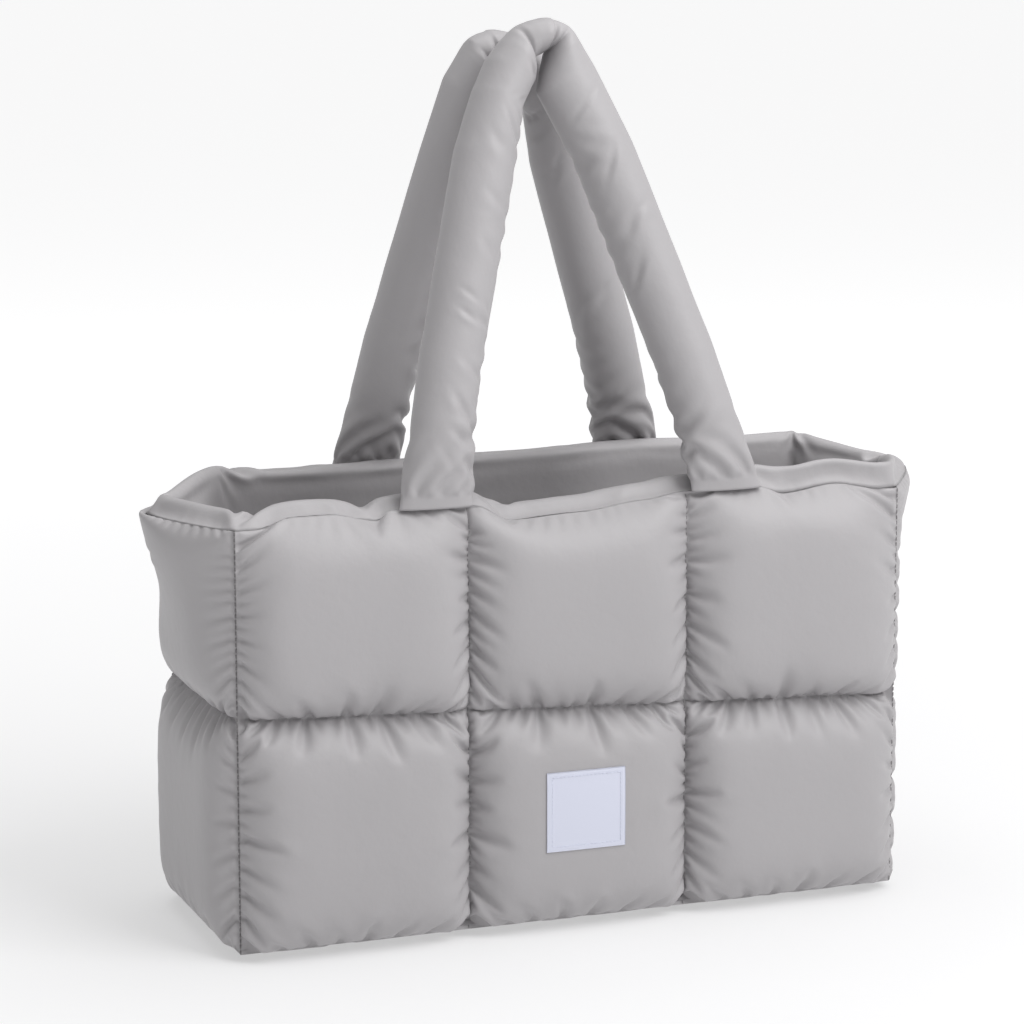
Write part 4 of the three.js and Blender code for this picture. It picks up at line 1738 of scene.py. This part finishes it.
@dataclass
class Label:
    """The small cloth patch on the lower middle puff of the front, and its border of stitches.

    Attributes:
        cells: Grid cells across it.
        thickness: Of the patch.
        fitted: Where the puff's surface is fitted, as a share of half the patch's size.
        pressed: Up to where the puff is pressed smooth, as the same share.
        fade: The last part of that, over which the pressing fades out.
        on_puff: Cloth that stands out less than this isn't on the puff's crown.
        sunk: How deep the cloth is pressed under the patch.
    """

    cells: int = 48
    thickness: float = 0.7
    fitted: float = 1.25
    pressed: float = 1.28
    fade: float = 0.22
    on_puff: float = 8.0
    sunk: float = 0.25

    def settle(self, wall: PaddedWall) -> Array:
        """Presses the puff under the label to a smooth surface, and returns the label's.

        A surface of the fourth order is fitted to the cloth under the label, by least squares. The cloth is
        moved on to it, fading out within a few millimetres of the label's edge.

        Args:
            wall: The front wall, after its simulation.

        Returns:
            3 by rows by columns: the label's under side, in the wall's directions.
        """
        assert wall.cloth is not None
        s = SIZES
        x = wall.cloth.points.astype(float)
        a = (x[0] - s.label_shift) / (s.label_width / 2)
        b = (x[1] - s.label_height_up) / (s.label_height / 2)
        crown = x[2] > self.on_puff
        near = (np.abs(a) < self.fitted) & (np.abs(b) < self.fitted) & crown
        fit = np.linalg.lstsq(self._terms(a[near], b[near]), x[2][near], rcond=None)[0]
        reach = np.maximum(np.abs(a), np.abs(b))
        share = smooth_step((self.pressed - reach) / self.fade) * crown
        flat = (self._terms(a.ravel(), b.ravel()) @ fit).reshape(a.shape)
        flat = np.where(share > 0, flat, x[2])
        x[2] += share * (flat - self.sunk - x[2])
        wall.cloth.points = x.astype(np.float32)
        line = np.linspace(-1, 1, self.cells + 1)
        u, v = np.meshgrid(line, line)
        height = (self._terms(u.ravel(), v.ravel()) @ fit).reshape(u.shape)
        across = s.label_shift + u * s.label_width / 2
        up = s.label_height_up + v * s.label_height / 2
        return np.stack([across, up, height])

    def _terms(self, a: Array, b: Array) -> Array:
        """The products a^i b^j with i + j up to 4, one column each."""
        return np.stack([a**i * b**j for i in range(5) for j in range(5 - i)], -1)

    def build(self, wall: PaddedWall, under: Array, material: bpy.types.Material) -> bpy.types.Object:
        """Makes the patch as a thin closed sheet with a slightly raised folded edge.

        Args:
            wall: The front wall.
            under: Its under side.
            material: Its finish.

        Returns:
            The object.
        """
        line = np.abs(np.linspace(-1, 1, self.cells + 1))
        reach = np.maximum(line[:, None], line[None, :])
        rim = np.clip((reach - 0.86) / 0.05, 0, 1) - np.clip((reach - 0.97) / 0.03, 0, 1) * 1.3
        over = under.copy()
        over[2] += self.thickness + 0.25 * rim
        uv = under[:2] - under[:2].min(axis=(1, 2), keepdims=True)
        made = GridMesh("label_patch")
        top = made.add_grid(wall.world(over), uv=uv)
        low = made.add_grid(wall.world(under), uv=uv, flip=True)
        loops = [np.concatenate([n[0, :-1], n[:-1, -1], n[-1, :0:-1], n[:0:-1, 0]]) for n in (top, low)]
        made.add_strip(loops[0], loops[1])
        return made.build(material)

    def border(self, wall: PaddedWall, under: Array) -> list[Array]:
        """The four sides of the border of stitches.

        Args:
            wall: The front wall.
            under: The label's under side.

        Returns:
            Four lines in the row frame.
        """
        over = under.copy()
        over[2] += self.thickness + 0.2
        k = 3
        n = self.cells
        lines = [over[:, k, k : n - k + 1], over[:, k : n - k + 1, n - k],
                 over[:, n - k, k : n - k + 1][:, ::-1], over[:, k : n - k + 1, k][:, ::-1]]  # fmt: skip
        return [wall.world(line) for line in lines]


# The studio


@dataclass(frozen=True)
class Studio:
    """The pale floor with its painted glow, the soft lights and the camera, in metres.

    Attributes:
        camera_place: Where the camera is.
        camera_aim: What it looks at.
        lens: Its focal length in millimetres, on a sensor 36 mm wide.
        floor_colour: Linear red, green and blue.
        painted_glow_near: Where the floor's painted glow starts to rise, from the bag's middle, and its
            strength there.
        painted_glow_far: The same where it stops.
        sky_strength: Of the even light from all round.
    """

    camera_place: tuple[float, float, float] = (-0.7545, -1.9313, 0.6271)
    camera_aim: tuple[float, float, float] = (-0.016, 0.0, 0.2605)
    lens: float = 112.4
    floor_colour: tuple[float, float, float] = (0.47, 0.47, 0.475)
    painted_glow_near: tuple[float, float] = (0.3, 0.43)
    painted_glow_far: tuple[float, float] = (2.4, 0.76)
    sky_strength: float = 0.36

    def build(self) -> None:
        """Makes all of it."""
        self._floor()
        self._camera()
        self._world()
        self._light("key", (1.2, -1.7, 2.1), (1.8, 1.8), 50.0)
        self._light("top", (0.3, 0.0, 2.6), (3.0, 3.0), 40.0)

    def _floor(self) -> None:
        """A wide flat floor that glows, as painted light. It glows more far from the bag, so that it stays
        white up to the horizon, and near the bag its glow lifts the shadows and lights the bag from below.
        """
        radius = np.concatenate([np.linspace(0, 3000, 16), 3000 * 1.35 ** np.arange(1, 10)])[:, None]
        angle = np.linspace(0, 2 * math.pi, 65)[None, :-1]
        points = np.stack([radius * np.cos(angle), radius * np.sin(angle), radius * 0 + angle * 0])
        made = GridMesh("floor")
        made.add_grid(points, wrap_cols=True)
        material = bpy.data.materials.new("floor")
        material.use_nodes = True
        tree = material.node_tree
        shader = tree.nodes["Principled BSDF"]
        shader.inputs["Base Color"].default_value = (*self.floor_colour, 1)
        shader.inputs["Roughness"].default_value = 0.8
        shader.inputs["Specular IOR Level"].default_value = 0.1
        # The floor's emission is painted light: it keeps the far floor white and lifts the shadows near the
        # bag.
        shader.inputs["Emission Color"].default_value = (1, 1, 1, 1)
        place = tree.nodes.new("ShaderNodeTexCoord")
        away = tree.nodes.new("ShaderNodeVectorMath")
        away.operation = "LENGTH"
        glow = tree.nodes.new("ShaderNodeMapRange")
        for end, (distance, strength) in (("Min", self.painted_glow_near), ("Max", self.painted_glow_far)):
            glow.inputs[f"From {end}"].default_value = distance
            glow.inputs[f"To {end}"].default_value = strength
        tree.links.new(place.outputs["Object"], away.inputs[0])
        tree.links.new(away.outputs["Value"], glow.inputs["Value"])
        tree.links.new(glow.outputs["Result"], shader.inputs["Emission Strength"])
        made.build(material)

    def _camera(self) -> None:
        """The camera, at the photograph's angle."""
        data = bpy.data.cameras.new("camera")
        data.sensor_width = 36.0
        data.lens = self.lens
        data.clip_end = 50.0
        camera = bpy.data.objects.new("camera", data)
        camera.location = self.camera_place
        aim = Vector(self.camera_aim) - Vector(self.camera_place)
        camera.rotation_euler = aim.to_track_quat("-Z", "Y").to_euler()
        bpy.context.scene.collection.objects.link(camera)
        bpy.context.scene.camera = camera

    def _world(self) -> None:
        """An even pale light from all round."""
        world = bpy.data.worlds.new("studio")
        world.use_nodes = True
        sky = world.node_tree.nodes["Background"]
        sky.inputs["Color"].default_value = (1, 1, 1, 1)
        sky.inputs["Strength"].default_value = self.sky_strength
        bpy.context.scene.world = world
        bpy.context.scene.view_settings.view_transform = "Standard"

    def _light(self, name: str, place: tuple[float, float, float], size: tuple[float, float],
               power: float) -> None:  # fmt: skip
        """A soft rectangular light that looks at the bag.

        Args:
            name: The light's name.
            place: Where it is.
            size: Its width and height.
            power: In watts.
        """
        data = bpy.data.lights.new(name, "AREA")
        data.shape = "RECTANGLE"
        data.size, data.size_y = size
        data.energy = power
        light = bpy.data.objects.new(name, data)
        light.location = place
        aim = Vector((0, 0, 0.2)) - Vector(place)
        light.rotation_euler = aim.to_track_quat("-Z", "Y").to_euler()
        bpy.context.scene.collection.objects.link(light)


# The whole bag


def dress(piece: bpy.types.Object, nodes: tuple[str, ...] = ()) -> None:
    """Ties a piece to the frame, and reports it.

    Args:
        piece: The piece.
        nodes: The solids that it stands for.
    """
    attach(piece, "root")
    if nodes:
        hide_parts(*nodes)
    LOG.info("%s: %d faces", piece.name, len(piece.data.polygons))


@dataclass
class ToteBag:
    """The bag, as the sub-assemblies that it is sewn from.

    Attributes:
        shell: The finish of the outer cloth.
        lining: Of the inner cloth: the shell's cloth, given a lighter colour as painted light.
        label: Of the patch.
        thread: Of the stitches along the seams.
    """

    shell: bpy.types.Material
    lining: bpy.types.Material
    label: bpy.types.Material
    thread: bpy.types.Material

    def body(self) -> dict[Wall, PaddedWall]:
        """Makes the padded walls, and the label and stitches on the front.

        Returns:
            The walls.
        """
        s = SIZES
        plans = (
            (Quilting(Wall.FRONT, 3, 2, puff=s.puff_out, seed=3), "front_puffs", "front_panel"),
            (Quilting(Wall.BACK, 3, 2, puff=s.puff_out, seed=4), "back_puffs", "back_panel"),
            (Quilting(Wall.LEFT, 1, 2, puff=s.left_puff_out - s.end_puff_inset, spare_across=0.08,
                      spare_along=0.05, tight_top=0.0, upper_share=1.25, seed=5), "left_puffs", "left_panel"),
            (Quilting(Wall.RIGHT, 1, 2, puff=s.right_puff_out - s.end_puff_inset, spare_across=0.045,
                      spare_along=0.03, tight_top=0.0, seed=6), "right_puffs", "right_panel"),
            (Quilting(Wall.BASE, 3, 1, cells=60, levels=2, puff=7.5, spare_across=0.05, spare_along=0.05,
                      gather=0.0, weight=0.0, seed=7), "base_puffs", "base_panel"),
        )  # fmt: skip
        walls = {}
        for quilting, name, node in plans:
            wall = PaddedWall(quilting, name)
            wall.simulate()
            walls[quilting.wall] = wall
            under = Label().settle(wall) if quilting.wall is Wall.FRONT else None
            dress(wall.build(self.shell), (node,))
            if under is not None:
                self.patch(wall, under)
        return walls

    def patch(self, wall: PaddedWall, under: Array) -> None:
        """Makes the label and its border.

        Args:
            wall: The front wall.
            under: The label's under side.
        """
        label = Label()
        piece = label.build(wall, under, self.label)
        dress(piece, ("label",))
        border = ThreadLine("label_stitches", pitch=2.6, length=1.9, radius=0.2)
        for line in label.border(wall, under):
            border.add(line, np.array([0.0, -1.0, 0.0]))
        dress(border.build(self.label))

    def inside(self) -> None:
        """Makes the lining."""
        for wall, name, columns, rows in (
            (Wall.FRONT, "front", 3, 2),
            (Wall.BACK, "back", 3, 2),
            (Wall.LEFT, "left", 1, 2),
            (Wall.RIGHT, "right", 1, 2),
            (Wall.BASE, "base", 3, 1),
        ):
            quilting = Quilting(wall, columns, rows, cells=60, levels=2, puff=SIZES.puff_in,
                                spare_across=0.012, spare_along=0.012, gather=0.0, seam_out=4.8, hang=0.1,
                                tuft=0.0, crease=0.15, upper_share=0.4, steps=(160, 100),
                                seed=20 + columns + rows)  # fmt: skip
            lining = PaddedWall(quilting, f"lining_{name}_cloth", inside=True, thick=1.5)
            lining.simulate()
            dress(lining.build(self.lining), (f"lining_{name}",))

    def mouth(self) -> None:
        """Makes the facing band."""
        rim = FacingRim().build(self.shell)
        nodes = tuple(f"facing_{side}" for side in ("front", "back", "left", "right"))
        dress(rim, nodes)

    def handles(self) -> None:
        """Makes both handles."""
        front = TubeHandle("front_handle_tube", face=-1.0, spread=199.0, rise=287.5, shift=2.5, lean=-13.5,
                           peak=-2.5, fold=1.0, seed=31)  # fmt: skip
        back = TubeHandle("back_handle_tube", face=1.0, spread=190.0, rise=279.0, shift=4.0, lean=-16.0,
                          peak=-21.0, fold=-1.0, reach=1.2, seed=32)  # fmt: skip
        for handle, node in ((front, "handle_front"), (back, "handle_back")):
            handle.simulate()
            dress(handle.build(self.shell), (node,))

    def stitches(self, walls: dict[Wall, PaddedWall]) -> None:
        """Makes the stitches along the quilting seams.

        Args:
            walls: The padded walls.
        """
        threads = ThreadLine("seam_stitches")
        for wall, padded in walls.items():
            outward = np.array(WALL_FRAMES[wall].out, float)
            q = padded.quilting
            for column in range(q.columns + 1):
                threads.add(padded.seam_line(column=column), outward)
        dress(threads.build(self.thread))


def main() -> None:
    """Builds every piece in order."""
    logging.basicConfig(level=logging.INFO, format="%(message)s", stream=sys.stdout)
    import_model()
    bag = ToteBag(SHELL_FINISH.build(), LIGHTENED_LINING_FINISH.build(), LABEL_FINISH.build(), THREAD_FINISH.build())
    walls = bag.body()
    bag.inside()
    bag.mouth()
    bag.handles()
    bag.stitches(walls)
    Studio().build()


if __name__ == "__main__":
    main()
